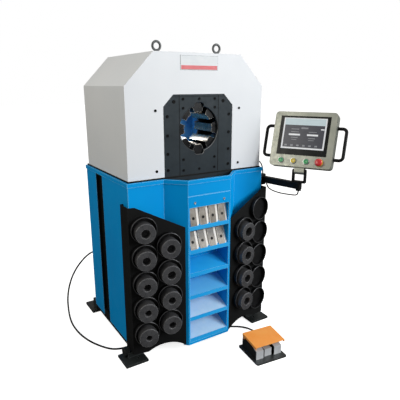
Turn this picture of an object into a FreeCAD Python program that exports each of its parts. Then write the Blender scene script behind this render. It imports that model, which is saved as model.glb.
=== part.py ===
import FreeCAD, Part
import math
import os

import Sketcher

# Hydraulic hose crimping machine: a white press head with an eight-die crimping throat
# stands on a blue cabinet. The cabinet's front holds a column of shelves between two black
# boards with round holders for die sets. A touch panel hangs on a jointed arm at the right
# side, and a foot pedal lies on the floor, joined by a cord that leaves the cabinet's back.
#
# Frame: millimetres, +Z up, the front faces -Y. The origin is on the floor, at the centre of
# the four anchor holes in the feet.

V = FreeCAD.Vector
doc = FreeCAD.newDocument("hose_crimping_machine")
sheet = doc.addObject("Spreadsheet::Sheet", "Sizes")
nodes = []


class Size:
    """A length or an angle, with the spreadsheet expression that gives it."""

    def __init__(self, value, text):
        self.value = value
        self.text = text

    def __add__(self, other):
        return Size(self.value + value(other), "(%s + %s)" % (self.text, text(other)))

    def __radd__(self, other):
        return self + other

    def __sub__(self, other):
        return Size(self.value - value(other), "(%s - %s)" % (self.text, text(other)))

    def __rsub__(self, other):
        return Size(value(other) - self.value, "(%s - %s)" % (text(other), self.text))

    def __mul__(self, other):
        return Size(self.value * value(other), "(%s * %s)" % (self.text, text(other)))

    def __rmul__(self, other):
        return self * other

    def __truediv__(self, other):
        return Size(self.value / value(other), "(%s / %s)" % (self.text, text(other)))

    def __neg__(self):
        return Size(-self.value, "(-%s)" % self.text)


def value(item):
    return item.value if isinstance(item, Size) else float(item)


def text(item):
    return item.text if isinstance(item, Size) else repr(float(item))


def cosine(angle):
    return Size(math.cos(math.radians(angle.value)), "cos(%s)" % angle.text)


def sine(angle):
    return Size(math.sin(math.radians(angle.value)), "sin(%s)" % angle.text)


def size(name, number, note):
    """Put one driving dimension into the spreadsheet and return it."""
    size.row += 1
    sheet.set("A%d" % size.row, name)
    sheet.set("B%d" % size.row, repr(number))
    sheet.set("C%d" % size.row, note)
    sheet.setAlias("B%d" % size.row, name)
    return Size(float(number), "Sizes." + name)


size.row = 0

# Floor anchors and feet
ANCHOR_X = size("anchor_half_x", 395, "half the spacing of the anchor holes across")
ANCHOR_Y = size("anchor_half_y", 355, "half the spacing of the anchor holes front to back")
ANCHOR_R = size("anchor_hole_radius", 7, "anchor hole")
PAD_WIDE = size("pad_width", 126, "foot pad across")
PAD_DEEP = size("pad_depth", 122, "foot pad front to back")
PAD_HIGH = size("pad_thickness", 13, "foot pad thickness")
PAD_OUT_FRONT = size("pad_outside_front", 478, "outer edge of a front pad")
PAD_OUT_REAR = size("pad_outside_rear", 438, "outer edge of a rear pad")
PAD_TIP = size("pad_tip", 395, "far edge of a pad, front or rear")
POST_WIDE = size("foot_post_width", 90, "foot post across")
POST_DEEP = size("foot_post_depth", 60, "foot post front to back")
BOSS_R = size("foot_boss_radius", 25, "round jacking boss on a front foot")
BOSS_LONG = size("foot_boss_length", 14, "jacking boss length")

# Base frame
RAIL_OUT = size("rail_outside", 411, "outer face of a side rail")
RAIL_WIDE = size("rail_width", 60, "side rail width")
RAIL_LOW = size("rail_bottom", 40, "underside of the rails")
RAIL_HIGH = size("rail_top", 100, "top of the rails")
CROSS_LOW = size("cross_bottom", 70, "underside of the cross members")

# Cabinet
CAB_HALF = size("cabinet_half_width", 414, "cabinet half width")
CAB_FRONT = size("cabinet_front", -357, "flat front panels")
CAB_BACK = size("cabinet_back", 255, "back panel")
FOLD_HALF = size("fold_half_width", 220, "where the front folds forward")
COL_HALF = size("column_half_width", 131, "half width of the front column")
SHEET = size("sheet_thickness", 3, "cabinet sheet metal")
CAB_TOP = size("cabinet_top", 950, "top of the panels, under the rim")
RIM_TOP = size("rim_top", 970, "top of the rim")
RIM_OUT = size("rim_overhang", 4, "rim outside the panels")
RIM_IN = size("rim_inset", 10, "rim inside the panels")
PANEL_LOW = size("panel_bottom", 62, "bottom of the side panels")
BACK_LOW = size("back_panel_bottom", 80, "bottom of the back panel")
COL_LOW = size("column_bottom", 45, "bottom of the front column")
FLAT_LOW = size("flat_bottom", 95, "bottom of the front flats, behind the boards")
CHANNEL_FRONT = size("channel_front", -1, "front edge of the black side channel")
CHANNEL_WIDE = size("channel_width", 100, "side channel width")
CHANNEL_DEEP = size("channel_depth", 18, "side channel depth")
FLANGE = size("panel_flange", 25, "inward flange of a side panel")
SEAM_Z = size("seam_height", 887, "joint line across the column front")
SEAM = size("seam_width", 2.5, "joint line width")
SEAM_DEEP = size("seam_depth", 1.2, "joint line depth")
FOLD = size("fold_tangent", 0.41421356, "tangent of half a 45 degree fold")

# Shelves in the column
WINDOW_TOP = size("window_top", 826, "top of the shelf opening")
WINDOW_LOW = size("window_bottom", 60, "bottom of the shelf opening")
WINDOW_EDGE = size("window_edge", 9, "frame left beside the opening")
BOX_DEEP = size("shelf_box_depth", 108, "shelf box front to back")
SHELF_FIRST = size("first_shelf_height", 71, "middle of the lowest lip")
SHELF_PITCH = size("shelf_pitch", 129, "shelf spacing")
SHELF_COUNT = size("shelf_count", 6, "number of shelves")
SHELF_SLOPE = size("shelf_slope", 23, "shelf slope in degrees, high at the back")
SHELF_T = size("shelf_thickness", 2, "shelf sheet")
LIP_HIGH = size("lip_height", 22, "front lip of a shelf")
LIP_OVER = size("lip_over_surface", 3, "lip above the shelf surface")
FIT = size("panel_gap", 0.3, "gap between fitted sheet parts")
BLOCK_WIDE = size("block_width", 55, "die block width")
BLOCK_PITCH = size("block_pitch", 59, "die block spacing")
BLOCK_LONG = size("block_length", 98, "die block height")
BLOCK_THICK = size("block_thickness", 34, "die block thickness")
BLOCK_FACET = size("block_facet", 19, "width of the slanted facet")
BLOCK_HOLE = size("block_hole_radius", 6.5, "hole in a die block")
BLOCK_HOLE_Z = size("block_hole_height", 42, "hole above the block's foot")
LEAN_UPPER = size("upper_lean", 12, "lean of the upper blocks in degrees")
LEAN_LOWER = size("lower_lean", 22, "lean of the lower blocks in degrees")

# Boards with die holders
RACK_OUT = size("rack_outside", 431, "outer face of a board")
RACK_IN = size("rack_inside", 143.5, "inner edge of a board")
RACK_FRONT = size("rack_front", -385, "front of a board at its outer corner")
RACK_ANGLE = size("rack_angle", 10.2, "turn of a board outwards in degrees")
RACK_RETURN = size("rack_return", 93, "depth of the side return")
RACK_TOP = size("rack_top", 858, "top of a board at its outer corner")
RACK_SHOULDER = size("rack_shoulder", 397, "where the top edge starts to fall")
RACK_TOP_IN = size("rack_top_inside", 728, "top of a board at its inner edge")
RACK_LOW = size("rack_bottom", 48, "lowest point of a board")
RACK_LOW_OUT = size("rack_bottom_outside", 60, "bottom of a board at its outer corner")
ARCH_X = size("arch_centre_x", 254.8, "centre of the arch below a board")
ARCH_Z = size("arch_centre_z", -84, "height of the arch's centre")
ARCH_R = size("arch_radius", 172.7, "arch radius")
CUP_R = size("cup_radius", 66, "die holder outside radius")
CUP_WALL = size("cup_wall", 3.5, "die holder wall")
CUP_DEEP = size("cup_depth", 25, "die holder depth")
CUP_BASE = size("cup_base", 3, "die holder back wall")
CUP_PIN_R = size("cup_pin_radius", 4, "locating pin in a holder")
CUP_PIN_LONG = size("cup_pin_length", 17, "locating pin length")
CUP_OUT_X = size("cup_outer_x", 360, "outer column of holders")
CUP_IN_X = size("cup_inner_x", 235, "inner column of holders")
CUP_OUT_Z = size("cup_outer_first", 183, "lowest holder, outer column")
CUP_IN_Z = size("cup_inner_first", 229, "lowest holder, inner column")
CUP_PITCH = size("cup_pitch", 141, "holder spacing upwards")
SET_R = size("die_set_radius", 52, "stored die set radius")
SET_LONG = size("die_set_length", 50, "stored die set length")
SET_BORE_LOW = size("die_set_bore_small", 13, "bore of the smallest stored set")
SET_BORE_STEP = size("die_set_bore_step", 2.2, "growth of the bore from set to set")

# Head housing
HEAD_HALF = size("head_half_width", 405, "head half width")
HEAD_FRONT = size("head_front", -345, "front face of the head")
HEAD_BACK = size("head_back", 238, "back face of the head")
HEAD_LOW = size("head_bottom", 978, "bottom of the head, on the deck")
HEAD_SHOULDER = size("head_shoulder", 1422, "where the top corners are cut off")
HEAD_TOP = size("head_top", 1580, "top of the head")
HEAD_TOP_HALF = size("head_top_half_width", 253, "half width of the top")
HEAD_WALL = size("head_wall", 3, "head sheet metal")
DECK_OUT = size("deck_overhang", 3, "deck outside the head")
DECK_HOLE = size("deck_opening_half", 290, "half width of the deck opening")
DECK_STRIP = size("deck_front_strip", 4.8, "deck in front of the face plates")
REAR_HOLE = size("rear_hole_radius", 120, "hole in the back for long hoses")
LINER_HALF = size("liner_half_width", 304, "blue guard tunnel half width")
LINER_TOP = size("liner_top", 1415, "top of the guard tunnel")
LINER_T = size("liner_thickness", 2.5, "guard sheet")
LINER_BACK = size("liner_back", 232, "rear face of the guard tunnel")

# Press
BORE_Z = size("bore_height", 1210, "height of the crimping centre")
PRESS_FRONT = size("press_front", -331, "front of the press frame")
PRESS_DEEP = size("press_depth", 170, "press frame front to back")
RUN = size("running_gap", 0.3, "gap between sliding faces")
FACE_T = size("face_plate_thickness", 12, "front face plates")
FACE_HALF = size("face_half_width", 206, "half width of the face plates")
FACE_TOP = size("face_top", 1382, "top of the face plates")
FACE_SHOULDER = size("face_shoulder", 1326, "where their corners are cut off")
FACE_TOP_HALF = size("face_top_half_width", 151, "half width of their top")
FACE_LOW = size("face_bottom", 946, "bottom of the face plates")
FACE_SEAM = size("face_seam", 117, "joint between centre and side plates")
SEAM_GAP = size("face_seam_gap", 1, "joint width")
THROAT_R = size("throat_radius", 112, "hole in the centre plate")
NOTCH_HALF = size("notch_half_width", 25, "notch above and below the hole")
NOTCH_DEEP = size("notch_depth", 16, "notch depth")
GUIDE_T = size("guide_plate_thickness", 12, "rear guide plate")
FRAME_HALF = size("frame_half_width", 283, "press frame half width")
FRAME_IN = size("frame_window_half", 223, "press frame window half width")
FRAME_TOP = size("frame_top", 1460, "top of the press frame")
FRAME_SILL = size("frame_sill", 880, "underside of the lower cross beam")
BEAM_HIGH = size("beam_height", 190, "far side of a beam from the crimping centre")
SEAT = size("die_seat", 150, "flat die seats from the centre, open")
SEAT_HALF = size("die_seat_half", 50, "half width of a flat seat")
HALF_STEP = size("half_die_angle", 22.5, "half the angle between dies")
BEAM_LIP = size("beam_lip", 35, "edge of a beam above or below the centre line")
WEDGE_TOP = size("wedge_half_height", 88.7, "side wedge half height")
WEDGE_TIP = size("wedge_tip", 20, "half height of the wedge's outer end")
CLOSE = size("die_travel", 32, "radial travel of the dies")
DIE_R = size("closed_bore_radius", 52, "bore radius with the dies closed")
DIE_ROOT = size("die_root", 76, "inner end of a die before its bore is cut")
DIE_CUT = size("die_shoulder_cut", 1.5, "chamfer on the shoulders of a corner die")
PISTON_R = size("piston_radius", 60, "piston rod")
PISTON_LOW = size("piston_bottom", 690, "bottom of the piston at rest")
CYL_R = size("cylinder_radius", 86, "cylinder outside radius")
CYL_LOW = size("cylinder_bottom", 640, "bottom of the cylinder")

# Power unit behind the press
TANK_HALF = size("tank_half_width", 250, "oil tank half width")
TANK_FRONT = size("tank_front", -110, "front of the tank")
TANK_BACK = size("tank_back", 210, "back of the tank")
TANK_TOP = size("tank_top", 400, "top of the tank's box")
TANK_LID = size("tank_lid", 8, "tank lid")
TANK_LID_OVER = size("tank_lid_overhang", 12, "lid outside the box")
MOTOR_X = size("motor_x", -120, "motor axis across")
MOTOR_Y = size("motor_y", 60, "motor axis front to back")
MOTOR_R = size("motor_radius", 85, "motor housing radius")
MOTOR_LONG = size("motor_length", 230, "motor housing length")
MOTOR_FLANGE = size("motor_flange", 14, "motor flange thickness")
MOTOR_FLANGE_R = size("motor_flange_radius", 105, "motor flange radius")
MOTOR_HOOD = size("motor_hood", 22, "fan hood on top of the motor")
MOTOR_HOOD_R = size("motor_hood_radius", 91, "fan hood radius")

# Lifting eyes
EYE_X = size("eye_x", 178, "lifting eye across")
EYE_Y = size("eye_y", -230, "lifting eye front to back")
EYE_RING_R = size("eye_ring_radius", 21, "middle radius of the ring")
EYE_BAR_R = size("eye_bar_radius", 6, "ring bar radius")
EYE_FOOT_R = size("eye_foot_radius", 15, "collar radius")
EYE_FOOT = size("eye_foot_height", 8, "collar height")

# Panel arm
PIVOT_X = size("arm_pivot_x", 455, "arm pivot across")
PIVOT_Y = size("arm_pivot_y", -322, "arm pivot front to back")
BRACKET_LOW = size("bracket_bottom", 861, "bottom of the arm bracket")
BRACKET_HIGH = size("bracket_top", 921, "top of the arm bracket")
BRACKET_T = size("bracket_thickness", 10, "bracket plate")
BRACKET_HALF = size("bracket_half_depth", 30, "bracket half depth")
LUG_T = size("lug_thickness", 12, "bracket lug")
LUG_R = size("lug_radius", 18, "bracket lug radius")
ARM_PIN_R = size("arm_pin_radius", 9, "arm pivot pins")
PIN_FIT = size("pin_clearance", 0.08, "radial clearance of hinge pins")
ARM_LONG = size("arm_length", 252, "arm between its two axes")
ARM_TURN = size("arm_turn", -79, "direction of the arm in degrees from +X")
ARM_WIDE = size("arm_width", 30, "arm width")
YOKE_HIGH = size("yoke_height", 60, "tilt axis above the top of the arm")
YOKE_HALF = size("yoke_half_gap", 28, "half gap between the yoke's cheeks")
YOKE_T = size("yoke_thickness", 9, "yoke cheek")
YOKE_R = size("yoke_radius", 15, "yoke cheek end radius")
TILT_PIN_R = size("tilt_pin_radius", 6, "tilt pin")

# Touch panel, drawn upright about its tilt axis
PANEL_TURN = size("panel_turn", -61.5, "direction of the panel in degrees")
PANEL_TILT = size("panel_tilt", 17.8, "backward tilt of the panel in degrees")
CASE_HALF = size("case_half_width", 170, "panel case half width")
CASE_HIGH = size("case_height", 302, "panel case height")
CASE_DEEP = size("case_depth", 55, "panel case depth")
CASE_RISE = size("case_rise", 22, "case above the tilt axis")
CASE_CORNER = size("case_corner", 20, "case corner radius")
GLASS_HALF = size("glass_half_width", 136, "touch glass half width")
GLASS_HIGH = size("glass_height", 213, "touch glass height")
GLASS_RISE = size("glass_rise", 65, "glass above the case's bottom")
GLASS_T = size("glass_thickness", 3, "touch glass")
BUTTON_PITCH = size("button_pitch", 70, "push button spacing")
BUTTON_RISE = size("button_rise", 32, "buttons above the case's bottom")
STEM_R = size("button_stem_radius", 10.8, "button stem")
STEM_HOLE = size("button_hole_radius", 11.2, "button hole, 22 mm pattern")
HOLE_DEEP = size("button_hole_depth", 24, "button hole depth")
STEM_LONG = size("button_stem_length", 15, "button stem in the case")
CAP_R = size("button_cap_radius", 13, "button cap")
CAP_LOW = size("button_cap_gap", 4.5, "cap above the case, at rest")
CAP_HIGH = size("button_cap_height", 5, "button cap height")
COLLAR_R = size("button_collar_radius", 16.5, "collar round a button")
COLLAR_IN = size("button_collar_inside", 13.5, "collar inside radius")
COLLAR_HIGH = size("button_collar_height", 5, "collar height")
STOP_R = size("stop_head_radius", 20, "emergency stop head")
STOP_HIGH = size("stop_head_height", 14, "emergency stop head height")
STOP_GAP = size("stop_head_gap", 12, "stop head above the case, at rest")
GRIP_R = size("grip_radius", 6.5, "handle bar radius")
GRIP_LOW = size("grip_low", 56, "lower end of a handle above the case's bottom")
GRIP_HIGH = size("grip_high", 224, "upper end of a handle above the case's bottom")
GRIP_OUT = size("grip_reach", 48, "handle reach from the case's side")
GRIP_BEND = size("grip_bend", 20, "handle bend radius")

# Foot pedal, drawn about the centre of its base plate
PEDAL_X = size("pedal_x", 216, "pedal across")
PEDAL_Y = size("pedal_y", -653, "pedal front to back")
PEDAL_TURN = size("pedal_turn", -6.5, "pedal direction in degrees")
BASE_HALF = size("pedal_base_half_width", 95, "base plate half width")
BASE_LONG = size("pedal_base_half_length", 98, "base plate half length")
BASE_T = size("pedal_base_thickness", 8, "base plate thickness")
BASE_CORNER = size("pedal_base_corner", 10, "base plate corner radius")
CHEEK_OUT = size("cheek_outside", 80, "outer face of a cheek")
CHEEK_IN = size("cheek_inside", 34, "inner face of a cheek")
CHEEK_FRONT = size("cheek_front", -62, "front of the cheeks")
CHEEK_BACK = size("cheek_back", 80, "back of the cheeks")
CHEEK_LOW_TOP = size("cheek_front_height", 58, "height of the cheeks in front")
HINGE_Y = size("pedal_hinge_y", 50, "treadle hinge front to back")
HINGE_Z = size("pedal_hinge_z", 84, "treadle hinge height")
HINGE_R = size("pedal_hinge_pin", 4, "treadle hinge pin radius")
CHEEK_EAR_R = size("cheek_ear_radius", 10, "ear round the hinge pin")
TREAD_HALF = size("treadle_half_width", 92, "treadle half width")
TREAD_FRONT = size("treadle_front", -74, "front of the treadle")
TREAD_BACK = size("treadle_back", 62, "back of the treadle")
TREAD_HIGH_BACK = size("treadle_rear_height", 106, "treadle top at the back")
TREAD_HIGH_FRONT = size("treadle_front_height", 94, "treadle top in front")
TREAD_T = size("treadle_thickness", 3.5, "treadle plate")
SKIRT = size("treadle_skirt", 14, "treadle side skirt below its top")
EAR_R = size("treadle_ear_radius", 9, "treadle ear round the hinge pin")
SWITCH_HALF = size("switch_half_width", 22, "switch box half width")
SWITCH_HIGH = size("switch_height", 52, "switch box height")
PEDAL_GLAND_X = size("pedal_gland_x", 45, "cord gland across the pedal")
PEDAL_GLAND_Z = size("pedal_gland_z", 34, "cord gland height")

# Cords and glands
CORD_R = size("pedal_cord_radius", 5, "pedal cord")
GLAND_R = size("gland_radius", 11, "cord gland")
GLAND_LONG = size("gland_length", 24, "cord gland length")
GLAND_X = size("gland_x", -385, "gland in the back panel across")
GLAND_Z = size("gland_z", 395, "gland in the back panel, height")
WIRE_R = size("panel_cord_radius", 3.5, "panel cord")
WIRE_Z = size("panel_cord_height", 1004, "panel cord leaves the head at this height")
WIRE_Y = size("panel_cord_y", -318, "panel cord leaves the head here, front to back")
BOLT_R = size("screw_radius", 5.5, "cover screw head")
BOLT_HIGH = size("screw_height", 3, "cover screw head above its plate")
BIG_BOLT_R = size("big_screw_radius", 9, "tie bolt head")

# Sides of the polygons that stand for round pieces, wide and narrow ones
CUP_SIDES = 16
HOLE_SIDES = 12
SCREW_SIDES = 8


def add_node(item, label):
    """Keep an object as one of the machine's pieces."""
    item.Label = label
    nodes.append(item)
    return item


def origin_plane(body, role):
    for feature in body.Origin.OriginFeatures:
        if feature.Role == role:
            return feature
    raise ValueError(role)


def add_loop(sketch, points):
    """Draw a closed polygon whose corners are bound to the sheet."""
    first = sketch.GeometryCount
    count = len(points)
    corners = [V(value(x), value(y), 0) for x, y in points]
    for i in range(count):
        sketch.addGeometry(Part.LineSegment(corners[i], corners[(i + 1) % count]), False)
    for i in range(count):
        here = first + i
        after = first + (i + 1) % count
        sketch.addConstraint(Sketcher.Constraint("Coincident", here, 2, after, 1))
    for i, (x, y) in enumerate(points):
        bind_point(sketch, first + i, 1, x, y)


def bind_point(sketch, geometry, vertex, x, y):
    for kind, item in (("DistanceX", x), ("DistanceY", y)):
        number = sketch.addConstraint(
            Sketcher.Constraint(kind, -1, 1, geometry, vertex, value(item)))
        if isinstance(item, Size):
            sketch.setExpression("Constraints[%d]" % number, item.text)


def add_circle(sketch, x, y, radius):
    """Draw a circle whose centre and radius are bound to the sheet."""
    centre = V(value(x), value(y), 0)
    geometry = sketch.addGeometry(Part.Circle(centre, V(0, 0, 1), value(radius)), False)
    bind_point(sketch, geometry, 3, x, y)
    number = sketch.addConstraint(Sketcher.Constraint("Radius", geometry, value(radius)))
    if isinstance(radius, Size):
        sketch.setExpression("Constraints[%d]" % number, radius.text)


def add_sketch(body, role, offset, loops):
    """A loop is a list of corners, or a tuple (x, y, radius) for a circle."""
    sketch = body.newObject("Sketcher::SketchObject", body.Name + "_sketch")
    sketch.AttachmentSupport = [(origin_plane(body, role), "")]
    sketch.MapMode = "FlatFace"
    sketch.AttachmentOffset.Base.z = value(offset)
    if isinstance(offset, Size):
        sketch.setExpression("AttachmentOffset.Base.z", offset.text)
    else:
        sketch.AttachmentOffset = FreeCAD.Placement(V(0, 0, offset), FreeCAD.Rotation())
    for loop in loops:
        if isinstance(loop, tuple):
            add_circle(sketch, *loop)
        else:
            add_loop(sketch, loop)
    return sketch


def set_length(feature, length):
    feature.Length = value(length)
    if isinstance(length, Size):
        feature.setExpression("Length", length.text)


def pad(body, axis, start, end, loops):
    """Add the profile from start to end along X, Y or Z."""
    role, offset = {"X": ("YZ_Plane", start), "Y": ("XZ_Plane", -end), "Z": ("XY_Plane", start)}[axis]
    sketch = add_sketch(body, role, offset, loops)
    feature = body.newObject("PartDesign::Pad", body.Name + "_pad")
    feature.Profile = sketch
    set_length(feature, end - start)
    return feature


def pocket(body, axis, start, end, loops):
    """Cut the profile away from start to end along X, Y or Z."""
    role, offset = {"X": ("YZ_Plane", end), "Y": ("XZ_Plane", -start), "Z": ("XY_Plane", end)}[axis]
    sketch = add_sketch(body, role, offset, loops)
    feature = body.newObject("PartDesign::Pocket", body.Name + "_pocket")
    feature.Profile = sketch
    set_length(feature, end - start)
    return feature


def new_body(name):
    return doc.addObject("PartDesign::Body", name)


def solid(name, axis, start, end, loops):
    """A body with one pad."""
    body = new_body(name)
    pad(body, axis, start, end, loops)
    return body


def rectangle(x0, x1, y0, y1):
    return [(x0, y0), (x1, y0), (x1, y1), (x0, y1)]


def polygon(x, y, radius, sides):
    """Corners of a regular polygon that stands on one of its flats."""
    corners = []
    for i in range(sides):
        angle = 2 * math.pi * (i + 0.5) / sides - math.pi / 2
        corners.append((x + radius * math.cos(angle), y + radius * math.sin(angle)))
    return corners


def round_edges(body, feature, radius, direction, keep=None):
    """Fillet the body's edges that run along a direction."""
    doc.recompute()
    names = []
    for i, edge in enumerate(feature.Shape.Edges):
        if not isinstance(edge.Curve, Part.Line):
            continue
        along = abs(edge.tangentAt(edge.FirstParameter).dot(direction)) > 0.999
        if along and (keep is None or keep(edge.CenterOfMass)):
            names.append("Edge%d" % (i + 1))
    fillet = body.newObject("PartDesign::Fillet", body.Name + "_fillet")
    fillet.Base = (feature, names)
    fillet.Radius = value(radius)
    fillet.setExpression("Radius", radius.text)
    return fillet


def turned(x, y, z, angle, axis=V(0, 0, 1)):
    """Placement at a point, turned about an axis."""
    return FreeCAD.Placement(V(value(x), value(y), value(z)), FreeCAD.Rotation(axis, value(angle)))


def group(label, shapes):
    """Several alike solids that share one node."""
    item = doc.addObject("Part::Feature", label)
    item.Shape = Part.makeCompound(shapes)
    return add_node(item, label)


def moved(shape, placement):
    """A copy of a shape, placed again."""
    copy = shape.copy()
    copy.Placement = placement.multiply(copy.Placement)
    return copy


def mirrored(shape):
    """The same shape on the other side of the machine's middle plane."""
    return shape.mirror(V(0, 0, 0), V(1, 0, 0))


def prism(start, end, radius, sides):
    """A many-sided bar between two points that lie level with each other."""
    run = end - start
    across = V(-run.y, run.x, 0).normalize()
    up = V(0, 0, 1)
    corners = []
    for i in range(sides):
        angle = 2 * math.pi * (i + 0.5) / sides
        corners.append(start + across * (radius * math.cos(angle)) + up * (radius * math.sin(angle)))
    return Part.Face(Part.makePolygon(corners + corners[:1])).extrude(run)


def cabinet_outline(out):
    """Front corners of the cabinet, moved out by a distance, left to right."""
    front = CAB_FRONT - out
    column = CAB_FRONT - (FOLD_HALF - COL_HALF) - out
    right = [(COL_HALF + out * FOLD, column), (FOLD_HALF + out * FOLD, front), (CAB_HALF + out, front)]
    left = [(-x, y) for x, y in reversed(right)]
    return left + right


COL_FRONT = CAB_FRONT - (FOLD_HALF - COL_HALF)
BOX_FRONT = COL_FRONT + SHEET
SHELF_HALF = COL_HALF - WINDOW_EDGE - FIT
RACK_SLOPE = sine(RACK_ANGLE) / cosine(RACK_ANGLE)


def make_feet():
    """Two front feet and two rear feet, each a pad with an anchor hole and a post."""
    front = new_body("front_foot")
    inner = PAD_OUT_FRONT - PAD_WIDE
    pad(front, "Z", Size(0, "0"), PAD_HIGH,
        [rectangle(inner, PAD_OUT_FRONT, -PAD_TIP, PAD_DEEP - PAD_TIP), (ANCHOR_X, -ANCHOR_Y, ANCHOR_R)])
    post_front = PAD_DEEP - PAD_TIP - POST_DEEP
    pad(front, "Z", PAD_HIGH, RAIL_LOW,
        [rectangle(inner, inner + POST_WIDE, post_front, post_front + POST_DEEP)])
    boss_z = RAIL_LOW
    pad(front, "X", RACK_OUT, inner + POST_WIDE + BOSS_LONG,
        [(post_front + POST_DEEP / 2, boss_z, BOSS_R)])
    pocket(front, "Z", RAIL_LOW, RAIL_HIGH,
           [rectangle(inner, RAIL_OUT, -PAD_TIP, PAD_DEEP - PAD_TIP)])
    rear = new_body("rear_foot")
    rear_inner = PAD_OUT_REAR - PAD_WIDE
    rail_end = CAB_BACK - SHEET
    pad(rear, "Z", Size(0, "0"), PAD_HIGH,
        [rectangle(rear_inner, PAD_OUT_REAR, rail_end, PAD_TIP), (ANCHOR_X, ANCHOR_Y, ANCHOR_R)])
    pad(rear, "Z", PAD_HIGH, BACK_LOW - 4,
        [rectangle(rear_inner + 10, rear_inner + 10 + POST_WIDE, rail_end, rail_end + POST_DEEP)])
    doc.recompute()
    shapes = [front.Shape, mirrored(front.Shape), rear.Shape, mirrored(rear.Shape)]
    group("levelling_feet", shapes)


def make_base_frame():
    """Two side rails joined by three cross members."""
    body = new_body("base_frame")
    front = CAB_FRONT + SHEET
    back = CAB_BACK - SHEET
    inner = RAIL_OUT - RAIL_WIDE
    press_back = PRESS_FRONT + PRESS_DEEP
    pad(body, "Z", CROSS_LOW, RAIL_HIGH, [rectangle(-RAIL_OUT, RAIL_OUT, PRESS_FRONT, press_back)])
    pad(body, "Z", CROSS_LOW, RAIL_HIGH,
        [rectangle(-RAIL_OUT, RAIL_OUT, TANK_FRONT, TANK_FRONT + RAIL_WIDE)])
    pad(body, "Z", CROSS_LOW, RAIL_HIGH,
        [rectangle(-RAIL_OUT, RAIL_OUT, back - RAIL_WIDE, back)])
    pad(body, "Z", RAIL_LOW, RAIL_HIGH, [rectangle(inner, RAIL_OUT, front, back)])
    pad(body, "Z", RAIL_LOW, RAIL_HIGH, [rectangle(-RAIL_OUT, -inner, front, back)])
    add_node(body, "base_frame")


def make_side_panels():
    """On each side a front and a rear panel, with a black channel between them."""
    channel_back = CHANNEL_FRONT + CHANNEL_WIDE
    channels = []
    for name, side in (("left", -1), ("right", 1)):
        outer = CAB_HALF * side
        inner = (CAB_HALF - SHEET) * side
        flange = (CAB_HALF - FLANGE) * side
        start = CAB_FRONT + SHEET
        front = [(outer, start), (inner, start), (inner, CHANNEL_FRONT - SHEET),
                 (flange, CHANNEL_FRONT - SHEET), (flange, CHANNEL_FRONT), (outer, CHANNEL_FRONT)]
        panel = solid(name + "_front_panel", "Z", PANEL_LOW, CAB_TOP, [front])
        pocket(panel, "Z", PANEL_LOW, RAIL_HIGH,
               [rectangle(flange, inner, CHANNEL_FRONT - SHEET - 1, CHANNEL_FRONT + 1)])
        add_node(panel, name + "_front_panel")
        end = CAB_BACK - SHEET
        rear = [(outer, end), (inner, end), (inner, channel_back + SHEET),
                (flange, channel_back + SHEET), (flange, channel_back), (outer, channel_back)]
        panel = solid(name + "_rear_panel", "Z", PANEL_LOW, CAB_TOP, [rear])
        pocket(panel, "Z", PANEL_LOW, RAIL_HIGH,
               [rectangle(flange, inner, channel_back - 1, channel_back + SHEET + 1)])
        add_node(panel, name + "_rear_panel")
        lip = (CAB_HALF - 2) * side
        web = (CAB_HALF - CHANNEL_DEEP) * side
        back = (CAB_HALF - CHANNEL_DEEP - SHEET) * side
        profile = [(lip, CHANNEL_FRONT), (back, CHANNEL_FRONT), (back, channel_back), (lip, channel_back),
                   (lip, channel_back - SHEET), (web, channel_back - SHEET),
                   (web, CHANNEL_FRONT + SHEET), (lip, CHANNEL_FRONT + SHEET)]
        channels.append(solid(name + "_channel", "Z", RAIL_HIGH, CAB_TOP, [profile]))
    doc.recompute()
    group("side_channels", [channel.Shape for channel in channels])


def make_back_panel():
    """Back panel with the hole for the pedal cord's gland."""
    body = solid("back_panel", "Y", CAB_BACK - SHEET, CAB_BACK,
                 [rectangle(-CAB_HALF, CAB_HALF, BACK_LOW, CAB_TOP),
                  (GLAND_X, GLAND_Z, GLAND_R - 2 + FIT)])
    add_node(body, "back_panel")


def make_front_panel():
    """Folded front panel: two flats, two diagonals and the column front with its opening."""
    body = new_body("front_panel")
    outside = cabinet_outline(0 * SHEET)
    inside = cabinet_outline(-SHEET)
    inside[0] = (-CAB_HALF, inside[0][1])
    inside[-1] = (CAB_HALF, inside[-1][1])
    pad(body, "Z", COL_LOW, CAB_TOP, [outside + inside[::-1]])
    edge = COL_HALF - WINDOW_EDGE
    pocket(body, "Y", COL_FRONT - 1, BOX_FRONT + 1, [rectangle(-edge, edge, WINDOW_LOW, WINDOW_TOP)])
    for side in (-1, 1):
        pocket(body, "Y", COL_FRONT - 1, CAB_FRONT + SHEET + 1,
               [rectangle((RACK_IN + 8) * side, (CAB_HALF + 1) * side, COL_LOW - 1, FLAT_LOW)])
    pocket(body, "Y", COL_FRONT, COL_FRONT + SEAM_DEEP,
           [rectangle(-COL_HALF - 1, COL_HALF + 1, SEAM_Z - SEAM / 2, SEAM_Z + SEAM / 2)])
    add_node(body, "front_panel")


def make_rim_and_deck():
    """Rim on the panels' top edge, and the deck plate that carries the head."""
    def ring(out):
        back = CAB_BACK + out
        return cabinet_outline(out) + [(CAB_HALF + out, back), (-CAB_HALF - out, back)]
    rim = solid("cabinet_rim", "Z", CAB_TOP, RIM_TOP, [ring(RIM_OUT), ring(-RIM_IN)])
    add_node(rim, "cabinet_rim")
    half = HEAD_HALF + DECK_OUT
    front = HEAD_FRONT - DECK_OUT
    hole_front = front + DECK_STRIP
    hole_back = PRESS_FRONT + PRESS_DEEP + GUIDE_T + 2
    deck = solid("deck_plate", "Z", RIM_TOP, HEAD_LOW,
                 [rectangle(-half, half, front, CAB_BACK),
                  rectangle(-DECK_HOLE, DECK_HOLE, hole_front, hole_back)])
    add_node(deck, "deck_plate")


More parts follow.
